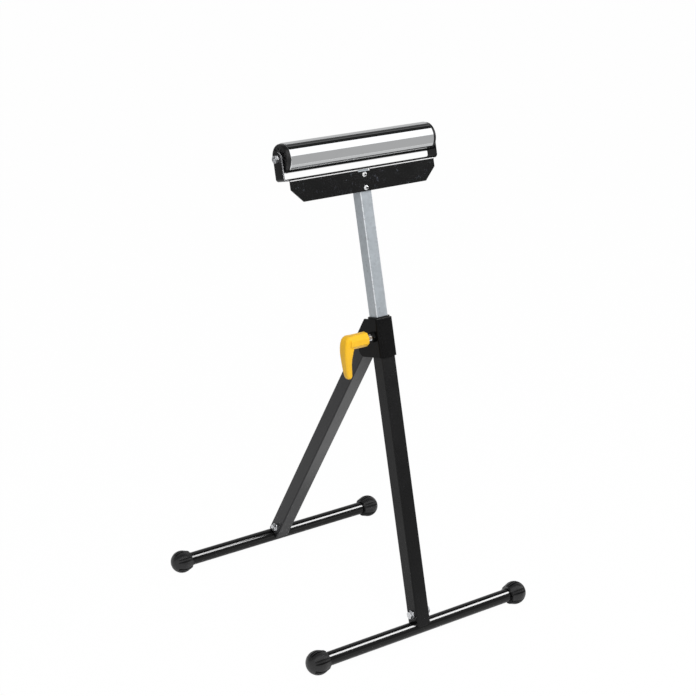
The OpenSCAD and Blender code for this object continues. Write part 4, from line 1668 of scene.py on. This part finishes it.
@dataclass
class Studio:
    """Camera, floor, soft light and the cards that the chrome mirrors."""

    camera_place: Place = (-1.7121, -2.4333, 1.5612)
    camera_tilt: float = math.radians(70.47)
    camera_turn: float = math.radians(-35.25)
    lens: float = 86.19
    sensor: float = 36.0
    far: float = 200.0
    floor_width: float = 80.0
    floor_colour: Colour = (0.95, 0.95, 0.95)
    floor_white_share: float = 0.985
    light_level: float = 0.36
    mirror_level: float = 0.8
    camera_level: float = 0.2
    roller_y: float = -0.036
    roller_z: float = 0.9
    card_radius: float = 1.2
    card_steps: int = 24
    card_rise: float = 1 * MM
    cards: tuple[Card, ...] = (
        Card("card_front", -48.0, 20.0, 0.47, low_x=-0.7),
        Card("card_softbox", 20.0, 73.0, 1.3),
        Card("card_ceiling", 73.0, 100.0, 0.02),
        Card("card_strip", 100.0, 105.0, 0.16),
        Card("card_ceiling_back", 105.0, 130.0, 0.07),
        Card("card_back", 131.0, 215.0, 0.55, low_x=-0.9),
        Card("card_back_left", 131.0, 215.0, 0.2, high_x=-0.9),
    )
    floor_cards: tuple[FloorCard, ...] = (
        FloorCard("card_floor_front", (0.38, 3.0), (-0.80, -0.33), 0.62),
        FloorCard("card_floor_dark", (0.38, 3.0), (-0.33, 0.3), 0.005),
        FloorCard("card_floor_leg", (0.02, 0.37), (-0.22, 0.12), 1.6),
    )
    lamp_aim: Place = (0.0, 0.0, 0.5)
    glint_x: float = 1.5
    glint_angle: float = math.radians(46.0)
    glint_share: float = 0.9
    glint_size: tuple[float, float] = (7.0, 0.9)
    glint_power: float = 700.0
    mirrors: tuple[str, ...] = (
        "head_plate",
        "front_bar",
        "rear_bar",
        "hinge_plate",
        "post_tube",
        "leg_tube",
    )

    def camera(self) -> None:
        """Puts the camera where the photograph was taken from."""
        data = bpy.data.cameras.new("camera")
        data.lens = self.lens
        data.sensor_width = self.sensor
        data.clip_end = self.far
        camera = bpy.data.objects.new("camera", data)
        camera.location = self.camera_place
        camera.rotation_euler = (self.camera_tilt, 0.0, self.camera_turn)
        bpy.context.scene.collection.objects.link(camera)
        bpy.context.scene.camera = camera

    def floor(self) -> None:
        """A pale floor that looks white to the camera and keeps the shadow."""
        shape = Workpiece.plane("floor", self.floor_width, self.floor_width, (0, 0, 0))
        tree = Tree(bpy.data.materials.new("floor_pale"), "ShaderNodeOutputMaterial")
        matt = tree.node("ShaderNodeBsdfDiffuse", {}, {"Color": shade(self.floor_colour)})
        white = tree.node("ShaderNodeEmission", {}, {"Color": shade(WHITE)})
        share = self.floor_white_share * tree.rays("Camera")
        tree.show(tree.node("ShaderNodeMixShader", {}, {0: share, 1: matt.outputs[0], 2: white.outputs[0]}))
        shape.obj.data.materials.append(tree.owner)
        shape.obj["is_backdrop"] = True

    def world(self) -> None:
        """White all round for the camera and for reflections, softer for the light it gives."""
        world = bpy.data.worlds.new("studio_white")
        bpy.context.scene.world = world
        tree = Tree(world, "ShaderNodeOutputWorld")
        camera = tree.rays("Camera")
        seen = camera.larger(tree.rays("Glossy")).larger(tree.rays("Transmission"))
        rise = self.mirror_level - self.light_level
        level = self.light_level + seen * rise + camera * self.camera_level
        tree.show(tree.node("ShaderNodeBackground", {}, {"Color": shade(WHITE), "Strength": level}))

    def hang(self, shape: Workpiece, level: float) -> None:
        """Makes a card glow, in mirrors alone.

        Args:
            shape: The card.
            level: How bright it is.
        """
        tree = Tree(bpy.data.materials.new(shape.obj.name + "_glow"), "ShaderNodeOutputMaterial")
        tree.show(tree.node("ShaderNodeEmission", {}, {"Color": shade(WHITE), "Strength": level}))
        shape.obj.data.materials.append(tree.owner)
        for ray in ("camera", "diffuse", "shadow", "transmission", "volume_scatter"):
            setattr(shape.obj, "visible_" + ray, False)
        shape.obj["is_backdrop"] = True

    def round_roller(self, x: float, angle: float, radius: float) -> Place:
        """A place round the roller's axis, by its angle from the stand's front up."""
        return (x, self.roller_y - radius * math.cos(angle), self.roller_z + radius * math.sin(angle))

    def hang_cards(self) -> None:
        """Hangs the curved cards and lays those on the floor."""
        for card in self.cards:
            start, end = math.radians(card.start), math.radians(card.end)
            ends = [self.round_roller(x, start, self.card_radius) for x in (card.low_x, card.high_x)]
            shape = Workpiece.drawn(card.name, ends)
            shape.pick(Pick.EDGES)
            shape.fold((0, self.roller_y, self.roller_z), Axis.X, start - end, self.card_steps)
            self.hang(shape, card.level)
        for card in self.floor_cards:
            (low_x, high_x), (low_y, high_y) = card.x, card.y
            middle = ((low_x + high_x) / 2, (low_y + high_y) / 2, self.card_rise)
            self.hang(Workpiece.plane(card.name, high_x - low_x, high_y - low_y, middle), card.level)

    def softbox(
        self, name: str, place: Place, aim: Place, size: tuple[float, float], power: float
    ) -> bpy.types.Object:
        """A soft lamp that lights the object and isn't mirrored.

        Args:
            name: Name of the lamp.
            place: Where it hangs.
            aim: What it points at.
            size: Its width and height.
            power: Its power in watts.

        Returns:
            The lamp.
        """
        data = bpy.data.lights.new(name, "AREA")
        data.shape = "RECTANGLE"
        data.size, data.size_y = size
        data.energy = power
        lamp = bpy.data.objects.new(name, data)
        lamp.location = place
        lamp.rotation_euler = (Vector(aim) - Vector(place)).to_track_quat("-Z", "Y").to_euler()
        lamp.visible_glossy = False
        lamp.visible_camera = False
        bpy.context.scene.collection.objects.link(lamp)
        lamp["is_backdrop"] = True
        return lamp

    def glint(self) -> None:
        """A strong lamp that only glossy paint mirrors, as the light line along a bend."""
        place = self.round_roller(self.glint_x, self.glint_angle, self.glint_share * self.card_radius)
        aim = (self.glint_x, self.roller_y, self.roller_z)
        lamp = self.softbox("softbox_glint", place, aim, self.glint_size, self.glint_power)
        lamp.visible_glossy = True
        lamp.visible_diffuse = False
        receivers = bpy.data.collections.new("glint_receivers")
        for name in self.mirrors:
            receivers.objects.link(bpy.data.objects[name])
        lamp.light_linking.receiver_collection = receivers

    def build(self) -> None:
        """Sets up the whole studio."""
        bpy.context.scene.view_settings.view_transform = "Standard"
        self.camera()
        self.floor()
        self.world()
        self.hang_cards()
        self.softbox("softbox_key", (-1.2, -2.4, 3.3), self.lamp_aim, size=(1.6, 1.6), power=105.0)
        self.softbox("softbox_fill", (2.5, -2.5, 2.2), self.lamp_aim, size=(2.2, 2.2), power=40.0)
        self.glint()


def save_bounds(report: dict[str, list[list[float]]], key: str) -> None:
    """Adds the shown object's lowest and highest corner to a report."""
    low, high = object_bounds()
    report[key] = [[float(v) for v in low], [float(v) for v in high]]


def main() -> None:
    """Builds the stand's looks and the studio."""
    logging.basicConfig(level=logging.INFO, format="%(name)s %(message)s", force=True)
    sizes: dict[str, list[list[float]]] = {}
    save_bounds(sizes, "cad")
    post = Matrix.Translation((0, -HALF_SPREAD, Foot.bar_z)) @ Matrix.Rotation(-POST_LEAN, 4, "X")
    leg = Matrix.Translation((0, HALF_SPREAD, Foot.bar_z)) @ Matrix.Rotation(LEG_LEAN, 4, "X")
    for part in (
        Foot("front", "post_frame", -HALF_SPREAD, post),
        Foot("rear", "leg_frame", HALF_SPREAD, leg),
        Post(post),
        Leg(leg),
        Head(post),
        Roller(post),
        Clamp(post),
        Studio(),
    ):
        log.info("building %s", type(part).__name__)
        part.build()
    save_bounds(sizes, "visual")


if __name__ == "__main__":
    main()
